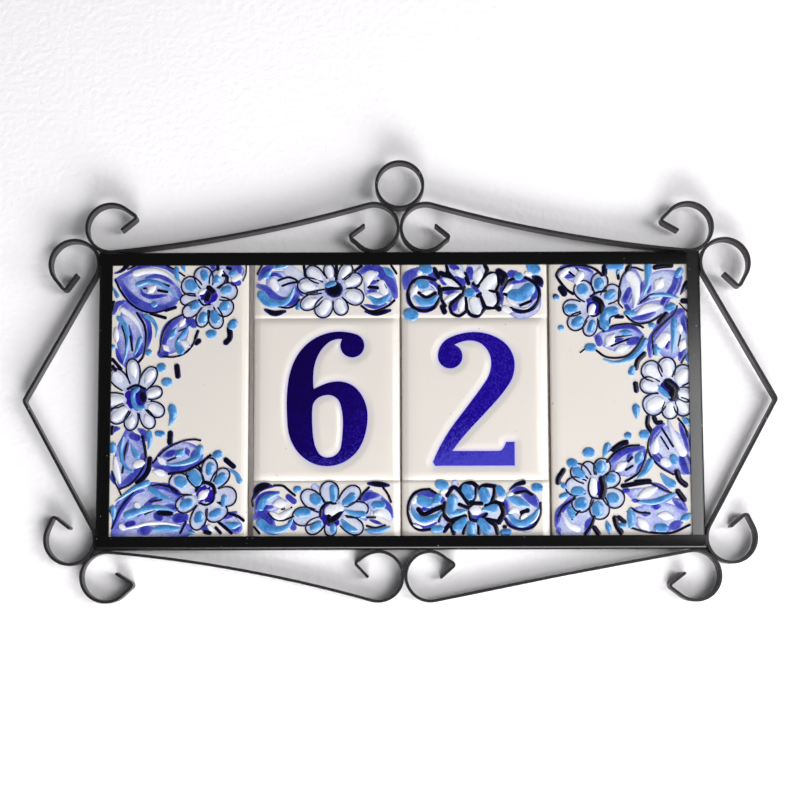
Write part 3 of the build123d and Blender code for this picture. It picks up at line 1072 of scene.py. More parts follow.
six_upper_flower = flower(
    (333.5, 289), white,
    ((315, 274.5), 20, 15),
    ((329.5, 271.5), 15, 11),
    ((345.5, 271.5), 17, 13),
    ((352.5, 281), 20, 15),
    ((354, 296.5), 20, 17),
    ((311.5, 301.5), 24, 15),
    ((311, 286.5), 27, 17),
    ((324, 307.5), 21, 18),
    ((340.5, 306.5), 18, 15),
) + [
    black(17.5, (333.5, 289), (334.5, 289.5)),
    deep(9, (329, 290.5), (330.5, 291.5)),
    sky(6.9, (328.5, 285.5), (333, 284)),
    black(3.4, (336.5, 266), (336.5, 279.5)),
    black(3.1, (304, 266.5), (305.5, 276)),
    black(2.1, (307, 293), (316, 291), (324.5, 289.5)),
    cobalt(3.7, (296.5, 287.5), (299, 293), (303, 296)),
]
six_lower_buds = [
    haze(16, (361.5, 503), (366, 521)),
    haze(8, (310.5, 487), (319.5, 487)),
    haze(19, (370, 494.5), (386, 514.5), shape=belly),
    haze(18, (258.5, 508), (272.5, 503), (286, 503)),
    cobalt(5.8, (256, 510.5), (258.5, 500.5), (265, 494.5), (278.5, 492.5)),
    cobalt(5.8, (255.5, 509), (262.5, 508), (272.5, 507)),
    cobalt(6.3, (288.5, 497), (294, 501.5), shape=even),
    cobalt(12, (255.5, 517.5), (262.5, 513.5), (268, 519), (273, 526)),
    cobalt(6.9, (291, 523), (293.5, 527.5)),
    cobalt(6.3, (266, 532), (281, 532)),
    cobalt(8.6, (362.5, 501.5), (368, 496), (377.5, 495.5)),
    cobalt(7.5, (382.5, 499.5), (388, 507), (392, 516.5)),
    cobalt(3.9, (370, 520), (381.5, 524)),
    white(10, (274.5, 504), (285, 502.5)),
    white(8, (271, 513), (279.5, 517.5), (290.5, 510)),
    white(10, (375.5, 513.5), (384, 513), (390.5, 520)),
    sky(8.2, (260.5, 507), (264, 499.5), (271, 496), (278.5, 494), shape=drop),
    sky(10, (261, 523.5), (267, 528.5), (278.5, 530), (288, 526), (293.5, 518), shape=drop),
    sky(7.6, (297, 489.5), (298, 489.5), shape=even),
    sky(9, (376, 505), (381.5, 505)),
    sky(6.9, (366, 530.5), (377.5, 531), (389, 527.5)),
    black(8.5, (254, 499.5), (257.5, 490), (265, 486), (274.5, 487), shape=lens),
    black(2.6, (274.5, 485.5), (283, 486), (290.5, 492), (295, 495.5)),
    black(2.6, (253, 506), (252.5, 499.5), (256.5, 491)),
    black(2, (282, 509.5), (284.5, 509)),
    black(2, (291.5, 507.5)),
    black(2.3, (268.5, 513.5), (274.5, 519), (283, 520.5), (293.5, 516.5)),
    black(2.5, (254, 527), (259.5, 533.5)),
    black(6.2, (368.5, 483.5), (376.5, 484), (388.5, 485.5), shape=belly),
    black(2.5, (360, 499.5), (362.5, 494), (369, 487.5)),
    black(2.5, (383, 487.5), (388, 494.5), (391, 502)),
    black(2.5, (367.5, 517.5), (375, 517.5)),
    black(2.5, (367, 526), (375.5, 528), (385, 525.5)),
]
six_lower_flower = flower(
    (331, 514.5), sky,
    ((330.5, 528.5), 15, 12, (333.5, 528.5), 10, 8),
    ((315, 526), 20, 15, (316, 526), 14, 9),
    ((352, 525.5), 24, 17),
) + [
    sky(8.2, (342.5, 521), (348, 527.5), (356, 530.5)),
] + flower(
    (331, 514.5), sky,
    ((356, 510), 25, 16),
) + [
    sky(8.2, (345.5, 510.5), (354, 513.5), (362.5, 514.5), shape=swell),
] + flower(
    (331, 514.5), sky,
    ((305, 516.5), 25, 19, (303, 512.5), 17, 10),
    ((313, 500.5), 27, 18, (316, 499.5), 14, 12),
    ((329.5, 492.5), 22, 19, (333.5, 493.5), 18, 8.5),
    ((350, 496), 24, 17, (349, 499.5), 17, 9),
) + [
    deep(7, (326.5, 504.5), (321.5, 513.5), (325.5, 522)),
    deep(8, (330.5, 523.5), (335.5, 522.5)),
    white(13, (330.5, 511), (338, 509)),
    black(7, (330.5, 520.5), (335.5, 517.5), (341, 510)),
    black(6.5, (328.5, 513), (329.5, 521)),
    black(3.4, (320.5, 515.5), (322, 508), (328.5, 503), (335, 503.5)),
]
six_painting = six_upper_buds + six_upper_flower + six_lower_buds + six_lower_flower
fire("number_tile_six", six_painting)


# Tile of the two: flowers and buds like those of the six, painted with heavier outlines.
# Each petal's outline is drawn by strokes of its own, in the same black enamel.
two_upper_buds = [
    pale(26, (414, 286.5), (433, 300.5), shape=belly),
    haze(9, (507.5, 313), (521.5, 315), (536, 308.5), (541, 298)),
    pale(24, (511, 286.5), (533, 300.5), shape=belly),
    cobalt(12, (406.5, 287.5), (408.5, 277.5), (417.5, 270)),
    cobalt(5, (407.5, 295), (409.5, 302.5), (413, 308)),
    cobalt(8.8, (429.5, 274), (436.5, 278.5)),
    cobalt(7.5, (429.5, 281), (438.5, 288.5)),
    cobalt(6.9, (416, 308), (425.5, 310), (435.5, 306.5)),
    cobalt(5, (501, 280.5), (502, 293), (502, 304.5)),
    cobalt(8.8, (507.5, 275.5), (515.5, 272.5)),
    cobalt(7.5, (511, 283.5), (518.5, 280), (527.5, 280)),
    cobalt(8.8, (533.5, 283.5), (537, 291), (531, 301.5)),
    cobalt(4.4, (514, 308.5), (528, 309), (537.5, 299.5)),
    white(8, (411.5, 295), (416.5, 286.5)),
    white(6, (422.5, 293), (431.5, 290.5)),
    white(6, (419.5, 273), (421.5, 271)),
    white(2, (428.5, 283), (434.5, 287.5), (437, 293.5)),
    white(6.5, (503.5, 292), (511.5, 285)),
    white(6.5, (507.5, 298.5), (517, 305.5)),
    white(1.6, (513.5, 307.5), (526.5, 308.5), (536.5, 299.5)),
    white(7.5, (505, 309), (508.5, 310)),
    white(5.5, (527, 273.5), (529.5, 274)),
    sky(11, (424, 269), (427.5, 269.5), shape=even),
    sky(11, (420.5, 283.5), (424.5, 285), shape=even),
    sky(9, (416, 297.5), (423, 302), (430.5, 301.5), (437, 296.5)),
    sky(13, (410, 314), (412.5, 314.5), shape=even),
    sky(14.5, (514.5, 295.5), (521, 295), (528.5, 289.5), shape=even),
    sky(9.4, (518, 276.5), (518.5, 276.5), shape=even),
    sky(11, (531.5, 267), (535.5, 269.5), shape=even),
    black(4.1, (439, 286.5), (439.5, 297), (434, 307.5), (423.5, 311), (413, 307), (408, 295),
          (412.5, 282.5), (423, 277.5), (435, 280)),
    black(5.2, (434.5, 269.5), (438.5, 277.5)),
    black(6, (441, 273.5), (449, 277.5)),
    black(3.9, (419, 293), (426.5, 297.5), (435.5, 293)),
    black(8, (499, 272), (504.5, 276.5), (502.5, 282.5)),
    black(3.4, (503.5, 291), (508.5, 281.5), (515, 278.5)),
    black(3.9, (525.5, 278), (535, 283.5), (539.5, 295), (534, 307.5), (521.5, 312), (511, 308.5)),
    black(3.2, (520.5, 305.5), (531, 301)),
    black(3.4, (503.5, 293), (506.5, 295)),
    black(9, (531.5, 276), (538.5, 280.5), (542.5, 287.5), shape=lens),
]
two_upper_flower = [
    pale(16, (455, 268.5), (460.5, 279)),
    pale(16, (474, 269.5), (476, 279.5)),
    cobalt(7.5, (441.5, 277.5), (444.5, 282)),
    cobalt(7.5, (452.5, 266), (456, 268.5)),
    cobalt(10, (457, 280), (462, 282)),
    cobalt(8.8, (470, 270.5), (470.5, 276.5)),
    cobalt(8.8, (445.5, 292.5), (455, 290.5)),
    cobalt(10, (455.5, 300), (453, 307)),
    cobalt(7.5, (472.5, 286), (479.5, 291.5)),
    white(8.5, (444, 279), (457.5, 286)),
    white(8, (456, 271), (463.5, 275.5)),
    white(12, (479.5, 270), (476.5, 282)),
    white(14, (491, 279), (484.5, 286.5)),
    white(14, (486.5, 295), (490, 300.5)),
    white(11, (474, 301.5), (477, 309.5)),
    white(8, (463, 298.5), (460, 310.5)),
    white(6.5, (458, 293), (445.5, 300.5)),
    sky(10.8, (469.5, 293), (470, 293), shape=even),
    black(4.6, (441, 289.5), (451, 288.5), (461.5, 288)),
    black(5.1, (447.5, 272.5), (453, 279), (460, 286)),
    black(4.6, (465, 274), (468.5, 283.5)),
    black(3.4, (446.5, 266), (448, 272)),
    black(4.6, (485, 265.5), (487, 272), (480, 283.5)),
    black(5.2, (474, 284), (482, 287.5)),
    black(3.4, (489, 291), (497, 292)),
    black(5.1, (481.5, 297), (485, 308)),
    black(3.9, (465.5, 298.5), (467, 311)),
    black(4.6, (461, 295.5), (451, 304.5)),
    black(3.4, (464.5, 287.5), (463, 295)),
    black(4.6, (478, 296), (482.5, 293)),
    black(3.4, (441.5, 290), (441.5, 299.5), (445.5, 306)),
    black(3.4, (450, 307), (452, 313), (459, 316), (465.5, 312)),
    black(3.9, (467.5, 311), (471, 315), (478, 316), (484.5, 309)),
    black(4.4, (497.5, 293), (499, 301.5), (495, 307), (485, 308)),
    black(4.4, (481.5, 280.5), (488.5, 274), (496.5, 275), (499.5, 283.5), (497, 290)),
    black(5.8, (442.5, 307), (444.5, 312)),
    black(6, (496.5, 307), (499, 309)),
]
two_lower_buds = [
    pale(27, (415, 501.5), (437, 517.5), shape=belly),
    pale(26, (512, 500.5), (533, 519.5), shape=belly),
    haze(8, (451, 483.5), (459, 484.5)),
    haze(9, (441.5, 519.5), (445.5, 527)),
    haze(6, (521.5, 531.5), (534, 528)),
    cobalt(8.8, (417, 497), (426.5, 493.5), (436, 496)),
    cobalt(6.2, (441, 497), (444, 503.5)),
    cobalt(6.2, (421, 509.5), (431, 507.5)),
    cobalt(5.6, (413.5, 524.5), (426.5, 527), (436, 523)),
    cobalt(7.5, (512.5, 492), (520.5, 490), (531, 494)),
    cobalt(11, (523.5, 493.5), (531, 498), (538, 505.5)),
    cobalt(8.8, (505, 503.5), (506.5, 511)),
    cobalt(6.2, (539.5, 515), (533, 525), (521.5, 528.5), (511, 525), (506, 518.5)),
    white(6, (413.5, 501.5), (416, 498)),
    white(3.8, (409, 511), (414, 519.5), (424.5, 524), (436, 520.5)),
    white(4, (413, 525), (421.5, 528)),
    white(5, (442.5, 491.5), (445.5, 490.5)),
    white(6.5, (509.5, 512.5), (514.5, 509.5), (519, 513.5)),
    white(2.8, (540, 510), (535.5, 519.5), (528, 524.5)),
    white(5.5, (508.5, 495.5), (510.5, 494)),
    white(6, (499, 498.5), (501.5, 499)),
    white(5, (522.5, 517), (525, 515)),
    sky(11.5, (421.5, 500), (428, 503), shape=even),
    sky(8.5, (435.5, 500.5), (438, 497.5), shape=even),
    sky(8, (412.5, 509.5), (416.5, 516.5), (424.5, 520.5), (436, 516.5), (440.5, 513)),
    sky(10, (440, 484.5), (444, 485.5), shape=even),
    sky(8, (434.5, 529.5), (440, 529)),
    sky(9, (508.5, 497.5), (517.5, 501), (528, 506)),
    sky(8.5, (510.5, 516), (515.5, 522), (523.5, 523.5), (533.5, 517), (538, 510.5)),
    sky(9, (499, 489.5), (501.5, 493), shape=even),
    sky(9.5, (536, 487.5), (538.5, 488), shape=even),
    sky(7, (503.5, 532.5), (508.5, 532)),
    black(3.4, (429.5, 489.5), (421, 490.5), (413.5, 494.5), (409, 503.5), (408.5, 515),
          (412.5, 525), (420, 530), (430.5, 529.5)),
    black(2.8, (429.5, 489.5), (436, 493.5)),
    black(2.8, (442.5, 510), (439, 521.5)),
    black(5.3, (418.5, 509.5), (424, 514.5), (434, 510), (442, 507)),
    black(3.7, (516, 493), (525.5, 491.5), (532, 495)),
    black(3.2, (540.5, 503.5), (540, 515), (533, 526.5), (521.5, 529.5), (510, 526), (505.5, 519.5)),
    black(5.1, (521.5, 513), (527.5, 510.5)),
    black(2.1, (522.5, 512.5), (520, 518.5)),
    black(5.3, (509.5, 490), (516, 485), (523.5, 482.5), shape=swell),
    black(4.3, (504.5, 527), (505, 527)),
    black(4.6, (449, 525), (444.5, 531)),
]
two_lower_flower = [
    pale(14, (453, 493), (463.5, 502.5)),
    pale(13, (490.5, 516.5), (499, 512)),
    pale(15, (468.5, 490), (470.5, 499.5)),
    pale(15, (486, 492), (487.5, 500.5)),
    pale(14, (460.5, 523.5), (457, 530)),
    pale(12, (472, 526), (472, 533)),
    pale(14, (483.5, 524.5), (489.5, 531)),
    cobalt(5.6, (459, 519), (465, 517.5)),
    cobalt(6.9, (471.5, 516.5), (479, 518.5), (484.5, 514)),
    sky(12, (466.5, 489.5), (469.5, 494.5), shape=even),
    sky(11.5, (483.5, 492.5), (485.5, 498), shape=even),
    sky(10.5, (482.5, 510), (493, 508), shape=swell),
    sky(11.5, (452.5, 500), (451.5, 510), shape=even),
    sky(8.5, (452, 513), (467, 511), shape=drop),
    sky(11, (463, 521.5), (457.5, 526.5), shape=even),
    sky(9.5, (471, 526), (471.5, 532), shape=even),
    sky(11.5, (482, 523), (486, 529), shape=even),
    white(10.8, (474.5, 510), (476, 510), shape=even),
    black(4.6, (460.5, 488.5), (464.5, 484.5), (472, 483), (477, 486.5)),
    black(3.9, (476.5, 487.5), (475, 496.5), (470.5, 503)),
    black(4.6, (447.5, 495.5), (453, 487.5), (459, 491), (468.5, 503.5)),
    black(4.8, (479.5, 488.5), (485.5, 485.5), (495, 486.5)),
    black(4.6, (495, 486.5), (494, 496.5), (489.5, 504.5)),
    black(5.1, (486.5, 505.5), (496, 502.5), (503, 505)),
    black(6, (501.5, 505), (503.5, 513), (499, 522)),
    black(4.6, (499, 522), (487, 519.5)),
    black(4.6, (470, 506.5), (473, 503.5), (481.5, 503.5)),
    black(3.9, (469.5, 512), (471.5, 519.5), (479, 520.5), (486.5, 514)),
    black(4.8, (445, 503.5), (444, 514), (449.5, 520.5), (457, 519), (465, 516.5)),
    black(4.1, (459.5, 504.5), (468, 508)),
    black(4.6, (454.5, 520.5), (451.5, 525.5), (454, 533)),
    black(3.9, (467, 522), (463.5, 533)),
    black(4.1, (479, 521.5), (479, 533)),
    black(4.6, (486.5, 519.5), (495, 525.5), (497.5, 533)),
]
two_painting = two_upper_buds + two_upper_flower + two_lower_buds + two_lower_flower
fire("number_tile_two", two_painting)


# Right border tile: flowers, leaves and dabs like those of the left one, turned to the other side.
# They are painted freehand too, so no leaf or petal is the same as one on the left.
right_upper_leaf = [
    haze(20, (557.5, 272), (574, 273.5), (597.5, 280)),
    cobalt(4.7, (561, 267), (571, 265.5), (583, 267.5), (592.5, 272)),
    cobalt(5.2, (567.5, 276.5), (572, 276)),
    white(7, (562, 274.5), (566.5, 270.5)),
    white(8.5, (577.5, 281), (580.5, 275)),
    black(3.1, (559.5, 269.5), (557, 273.5), (557.5, 278), (565.5, 288.5), (573, 294)),
    black(2.9, (559.5, 269.5), (572, 265.5), (585.5, 266), (595.5, 269.5), (602, 275.5)),
    black(2.2, (568.5, 271.5), (574, 276)),
    black(1.8, (576, 268), (578.5, 270.5)),
]
right_top_leaf = [
    haze(27, (629.5, 311), (630.5, 290), (634, 267.5)),
    haze(26, (638, 301.5), (656.5, 285), (679, 271.5)),
    haze(21, (626.5, 314), (646, 313), (672, 302.5)),
    cobalt(9.5, (630, 291.5), (626.5, 299)),
    cobalt(6.3, (642.5, 283), (640.5, 294)),
    cobalt(5.2, (626.5, 306.5), (628.5, 309.5)),
    cobalt(10, (678, 278), (675.5, 287), (671, 294), shape=even),
    cobalt(5.2, (651, 286.5), (648, 293.5)),
    cobalt(6.3, (633, 319), (645, 317), (654.5, 313)),
    cobalt(8.4, (666.5, 299), (664, 303)),
    cobalt(3.2, (638, 304.5), (649.5, 298.5)),
    white(12, (630.5, 276.5), (634.5, 283), (636, 294.5), (634, 307.5), shape=drop),
    white(11, (656, 288), (661.5, 280)),
    white(9.5, (638.5, 313), (648, 308), (660.5, 306.5)),
    sky(8, (648, 266), (648, 276.5), (647, 286), (643, 295), shape=drop),
    sky(7.5, (678, 274.5), (680, 271), shape=even),
    sky(4.5, (650, 296), (659.5, 294.5), (670, 295.5), (678, 298)),
    sky(7, (627.5, 313), (632.5, 313.5), shape=even),
    sky(8, (668, 308), (672, 306.5), shape=even),
    black(2.3, (618.5, 302.5), (619.5, 288), (623.5, 274.5), (632, 267.5), (643, 270.5)),
    black(2, (640.5, 302.5), (649.5, 295.5), (654.5, 294)),
    black(2.4, (624.5, 313), (630.5, 320), (639, 323.5), (649.5, 322), (661.5, 315)),
    black(1.7, (618.5, 303.5), (622.5, 308)),
    black(1.4, (679.5, 303.5), (687.5, 312)),
]
right_inner_leaf = [
    haze(27, (593.5, 336.5), (617.5, 338.5), (644, 334.5)),
    cobalt(5.8, (605, 331.5), (618.5, 327), (632, 327), (641, 333)),
    cobalt(7.4, (598, 338.5), (599.5, 343)),
    cobalt(8.9, (630.5, 341.5), (637, 340.5)),
    cobalt(4.7, (613, 341.5), (622.5, 339)),
    white(11, (607, 344.5), (613, 336)),
    white(9, (616.5, 350.5), (627.5, 346.5)),
    sky(7.5, (621.5, 332.5), (630.5, 333)),
    sky(7, (604, 359.5), (615, 362.5), (627.5, 359.5), (639, 351), (645, 341), shape=swell),
    black(2.4, (603, 331.5), (613, 326), (627.5, 324), (639, 325.5), (643, 327.5)),
    black(2.4, (596.5, 350.5), (605, 356.5), (616.5, 358), (628.5, 355), (638, 345), (643, 336.5)),
    black(1.8, (614.5, 337.5), (631, 335)),
    black(2.2, (611.5, 346), (628.5, 339)),
]
right_side_leaf = [
    haze(40, (678, 309.5), (672, 332.5), (668, 361.5)),
    cobalt(8.9, (674.5, 314.5), (659.5, 329), (651, 342), (650.5, 356)),
    cobalt(9.5, (675, 314), (680.5, 312.5)),
    cobalt(8.4, (683, 315), (686.5, 331.5)),
    cobalt(10, (685, 350.5), (680.5, 359)),
    cobalt(5.2, (668.5, 343), (667.5, 347)),
    white(7, (679.5, 324.5), (680, 332.5)),
    white(12, (665, 337.5), (660.5, 342.5)),
    white(10, (684, 341), (680.5, 349.5)),
    sky(8, (674, 321), (674, 335.5), (672.5, 353), shape=drop),
    sky(9, (656.5, 346), (656.5, 354)),
    sky(6, (688.5, 357), (688.5, 359.5)),
    black(2.3, (677, 306.5), (674, 314), (658.5, 328), (652.5, 337.5), (654, 354)),
    black(1.8, (680.5, 335.5), (678.5, 346)),
    black(2.4, (685, 356.5), (681.5, 362.5)),
]
right_strays = [
    sky(8, (609.5, 266.5), (620, 266.5), shape=even),
    sky(4.5, (618.5, 268.5), (617.5, 274)),
    sky(9, (589, 347.5), (592, 347.5)),
    sky(6, (556.5, 297.5)),
    sky(6.3, (561, 328)),
    sky(6.5, (651.5, 325.5)),
    sky(7.5, (631.5, 372), (632.5, 369.5)),
    black(7, (561, 289), (564, 293.5)),
    black(5.4, (555.5, 296.5)),
    black(6, (604.5, 267.5), (604.5, 273.5)),
    black(3.4, (617.5, 272), (618.5, 278.5)),
    black(6.5, (630.5, 265), (626, 273), shape=belly),
    black(5.4, (655, 267.5), (663.5, 266), (671, 265.5)),
    black(6, (687, 283), (680.5, 294.5), shape=drop),
    black(6, (683, 301), (688, 301.5)),
    black(6, (666, 314.5), (659.5, 322)),
    black(5.5, (644, 354), (638, 360.5), (636, 368)),
    black(5.5, (635.5, 384), (636.5, 390.5)),
    black(1.6, (580.5, 352.5), (585.5, 348.5)),
    sky(8.5, (636, 408), (636.5, 414.5), (636.5, 418.5), shape=drop),
    sky(7.6, (628, 435.5)),
    sky(10, (644, 434.5), (645, 434.5), shape=even),
    sky(8, (607.5, 446.5), (603.5, 457), shape=drop),
    sky(11, (588, 452.5), (589.5, 452.5), shape=even),
    sky(10, (571.5, 463), (573, 463.5), shape=even),
    sky(8, (650.5, 462), (645, 471.5), (637.5, 478.5), shape=drop),
    sky(10, (661.5, 474.5), (667, 481), (671.5, 484), shape=swell),
    sky(6, (561.5, 483.5), (566, 488)),
    sky(6, (562, 496.5), (566, 495)),
    sky(6.5, (607, 522.5), (610, 532.5)),
    sky(6, (621.5, 525.5), (624, 525.5)),
    cobalt(9.5, (674.5, 500), (680.5, 504.5), (685.5, 509.5)),
    black(6, (613.5, 449.5), (620.5, 444.5), (626, 442.5)),
    black(1.8, (611, 449.5), (605.5, 453.5)),
    black(6, (677, 472), (679.5, 479.5), (685.5, 485)),
    black(6, (678, 491.5), (684, 499.5)),
    black(5.5, (563.5, 470.5), (559, 477.5), (558, 482.5)),
    black(6, (615, 518.5), (617, 526), (621, 532)),
    black(4.8, (619, 517.5), (624.5, 522)),
    black(5.4, (594.5, 528), (598.5, 533.5)),
]
right_upper_flower = flower(
    (596.5, 306.5), sky,
    ((584, 291), 21, 19, (582.5, 289.5), 12.5, 12.5),
    ((599.5, 283), 20, 17, (599, 284), 13, 11),
    ((611, 294), 20, 18, (610, 295), 14, 10),
    ((590.5, 326), 21, 14, (591.5, 326.5), 14, 8),
    ((577, 321.5), 20, 17, (577.5, 322), 14, 11),
    ((572.5, 308), 19, 17, (571, 308.5), 14, 10),
) + [
    pale(14, (613, 309.5), (605, 315), (604, 325)),
    sky(10.5, (613.5, 311), (606.5, 313), (604, 320), (605, 325.5), shape=even),
    deep(17, (595, 306.5), (597, 307)),
    cobalt(6.3, (589, 300.5), (593.5, 298.5)),
    white(8, (590.5, 312), (592.5, 307.5)),
    black(7, (595, 299), (600.5, 303), (601, 311)),
    black(2.2, (587.5, 306.5), (588, 312.5), (593.5, 316.5), (600.5, 313)),
    black(2.6, (590.5, 296.5), (597.5, 292.5), (606, 291)),
    black(2.2, (609.5, 323), (611, 317), (618.5, 315)),
    black(3.6, (616, 317), (622.5, 317)),
    black(1.9, (598.5, 321), (599.5, 327.5), (605, 330.5)),
]
right_white_flower = flower(
    (670, 389.5), white,
    ((651.5, 371), 20, 20),
    ((667, 367.5), 20, 18),
    ((683, 375), 20, 20),
    ((650, 385.5), 20, 17),
    ((685, 394.5), 16, 15),
) + flower(
    (670, 395.5), white,
    ((654, 404.5), 22, 22),
    ((670, 410), 18, 16),
    ((683, 407), 18, 18),
) + [
    deep(18, (668, 389), (669.5, 390.5)),
    sky(6, (658, 386), (662.5, 391.5), (669.5, 397.5)),
    black(12, (668.5, 384), (674, 389.5), (673, 396)),
]
right_lower_side_leaf = [
    haze(38, (657.5, 423), (668, 446.5), (684.5, 474.5)),
    cobalt(8.9, (663.5, 425), (654, 434), (650.5, 444.5)),
    cobalt(8.4, (680.5, 424), (686.5, 438.5), (688.5, 449.5)),
    cobalt(13, (684.5, 460), (687.5, 468.5)),
    cobalt(8.4, (656.5, 456), (659, 458.5)),
    white(10, (668.5, 421.5), (674, 436.5), (682.5, 452), shape=swell),
    white(10, (656.5, 438), (654.5, 449.5), shape=swell),
    white(9.5, (664.5, 462), (666.5, 463)),
    sky(9, (673.5, 458.5), (674.5, 460.5), shape=even),
    sky(7, (683.5, 418.5), (689.5, 424)),
    black(5, (648, 417.5), (647.5, 425), (650.5, 430.5)),
    black(5, (654, 417.5), (656.5, 422.5), (661, 422.5)),
    black(2.3, (651, 432), (648, 448.5), (653.5, 460), (662.5, 468.5), (673.5, 474.5)),
    black(2.2, (678, 418.5), (684.5, 427), (687.5, 437)),
    black(2.3, (662, 428.5), (667, 436.5), (673, 446.5)),
    black(1.9, (661, 437), (668.5, 449)),
]
right_small_leaf = [
    haze(29, (610, 468.5), (627.5, 463), (645.5, 449.5)),
    cobalt(8.4, (612, 462), (622.5, 452), (634, 448.5), (643, 448)),
    cobalt(6.8, (645, 450.5), (643, 461), (637.5, 471.5)),
    cobalt(6.3, (627.5, 459), (632, 454)),
    white(9, (616.5, 470), (625.5, 463)),
    sky(10, (637.5, 462), (641, 453.5)),
    black(2.6, (607, 462), (615, 453), (627.5, 446.5), (639, 445.5)),
    black(2.4, (647, 450.5), (644, 462), (638, 473.5), (625.5, 481.5)),
    black(3.1, (628, 461.5), (632, 457.5)),
    black(2.4, (626, 470), (632.5, 466)),
]
right_bottom_leaf = [
    haze(19, (624, 491), (649.5, 497), (676, 495.5)),
    haze(33, (626.5, 511.5), (651.5, 518), (688.5, 514)),
    cobalt(5.8, (651.5, 483.5), (660.5, 487), (670, 493)),
    cobalt(5.2, (624.5, 491), (627.5, 490.5)),
    cobalt(4.7, (632.5, 500.5), (638.5, 501)),
    cobalt(7.4, (652.5, 506.5), (659.5, 506.5)),
    cobalt(5.8, (642, 513.5), (648.5, 514.5)),
    cobalt(9.5, (670, 528), (681, 522.5)),
    white(10, (640, 496), (655.5, 488.5)),
    white(9, (659.5, 515), (672, 516.5)),
    white(10.5, (639, 519.5), (648, 529.5)),
    sky(6.5, (640, 502), (653.5, 502), (665, 498), (674.5, 494)),
    sky(9.5, (630.5, 510.5), (631.5, 520), (630.5, 526.5)),
    sky(9.5, (658.5, 528), (663.5, 528)),
    sky(7, (689.5, 514.5), (682, 520)),
    black(5, (623, 486), (635, 484), (649.5, 481.5)),
    black(6, (636.5, 482.5), (649, 481.5)),
    black(2.3, (650.5, 483), (660.5, 488.5), (671, 493)),
    black(2.6, (631.5, 508.5), (639, 512.5), (649.5, 513.5)),
    black(1.9, (638, 501), (643.5, 502)),
    black(2.5, (631.5, 528), (642, 531), (656.5, 533), (673, 532.5), (689.5, 525)),
]
right_lower_flower = flower(
    (597.5, 488), sky,
    ((602, 468), 19, 17, (600.5, 467.5), 14, 12.5),
    ((611, 480), 19, 16, (610.5, 479), 12, 11),
    ((589, 470), 17, 14),
    ((580.5, 473.5), 21, 17, (579, 473), 15, 10),
    ((576.5, 486.5), 22, 19, (578, 491.5), 14, 11),
    ((582.5, 502), 22, 19, (581, 503.5), 14, 13),
    ((599.5, 508), 23, 20, (598, 509), 16, 13),
    ((614, 498), 21, 20, (613, 498.5), 13, 13),
) + [
    deep(20, (597, 488), (598, 488.5)),
    white(10, (592.5, 482), (593, 491)),
    black(8, (602, 479.5), (603.5, 488), (602, 496)),
    black(2.4, (590.5, 479), (588.5, 488), (591.5, 497), (599.5, 499)),
]
right_corner_leaf = [
    haze(37, (581, 496), (575, 520), (573, 546), shape=belly),
    cobalt(7.5, (571.5, 500), (560, 511.5), (556.5, 526)),
    cobalt(9.5, (592, 519), (586.5, 529)),
    cobalt(6, (557.5, 528), (560.5, 533.5)),
    white(8, (562, 513.5), (568.5, 524.5), (577, 529), shape=swell),
    sky(7.5, (570.5, 510.5), (572.5, 515.5)),
    black(2.4, (575, 498.5), (563.5, 506.5), (558.5, 516)),
    black(3.6, (594.5, 517), (591.5, 525), (585.5, 533.5)),
    black(1.8, (580, 510.5), (572, 519.5)),
]
right_painting = (
    right_upper_leaf + right_top_leaf + right_inner_leaf + right_side_leaf + right_strays
    + right_upper_flower + right_lower_side_leaf + right_white_flower + right_small_leaf
    + right_bottom_leaf + right_corner_leaf + right_lower_flower
)
fire("border_tile_right", right_painting)


# Scrolls: flat strip bent on its edge into curls with a kinked tip, welded to the bars and each other.
# Their paint is the bars' black paint, made more matt, and its colour is painted greyer as a painted sheen
# of the bright wall around them.
# The ends of the four curls in the middle are bent further round, past their welds, than in the solids.
curl_radius = 13.3 * mm
tail_reach = 1.2 * curl_radius
tail_limit = radians(115)
tail_spread = radians(24)
tail_cuts = 8
tail_draw_in = 0.06
tail_turns = {
    "top_scroll_left": radians(26),
    "top_scroll_right": radians(27),
    "bottom_scroll_left": radians(26),
    "bottom_scroll_right": radians(15),
}
# The strips' paint: the bars' black, rougher, with its colour painted greyer as a painted sheen
sheen_grey_black = black_paint("sheen_grey_black_paint", linear(31, 29, 31), roughness=0.38, shine=0.3)


def curl_on(piece, axis, out, bar_way, turn):
    """Bends the end of a curl further round its axis, on from the place where it is welded to the bar."""
    bpy.ops.object.mode_set(mode="EDIT")
    for cut in range(1, tail_cuts + 1):
        angle = tail_spread * cut / tail_cuts
        bpy.ops.mesh.select_all(action="SELECT")
        bpy.ops.mesh.bisect(plane_co=axis, plane_no=(out * np.cos(angle), 0, -bar_way * np.sin(angle)))
    bpy.ops.object.mode_set(mode="OBJECT")
    for vertex in piece.data.vertices:
        across = out * (vertex.co.x - axis.x)
        along = bar_way * (vertex.co.z - axis.z)
        angle = np.arctan2(across, along)
        reach = np.hypot(across, along)
        if 0 < angle < tail_limit and reach < tail_reach:
            share = min(angle / tail_spread, 1)
            angle += share * turn
            reach *= 1 - share * tail_draw_in
            vertex.co.x = axis.x + out * reach * np.sin(angle)
            vertex.co.z = axis.z + bar_way * reach * np.cos(angle)


# For each side: the way out from the middle, and the corner of a scroll's box on the middle's side.
# For each bar: the way to it from a curl's axis, and the corner of its box on the curl's side
for side, out, inner in (("left", -1, 1), ("right", 1, 0)):
    for place, bar_way, outer in (("top", -1, 1), ("bottom", 1, 0)):
        node = f"{place}_scroll_{side}"
        bar_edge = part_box(f"frame_{place}_bar")[outer].z
        axis = Vector((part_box(node)[inner].x + out * curl_radius, 0, bar_edge - bar_way * curl_radius))
        painted_steel(node, sheen_grey_black, lambda piece: curl_on(piece, axis, out, bar_way, tail_turns[node]))
    painted_steel(f"side_scroll_{side}", sheen_grey_black)


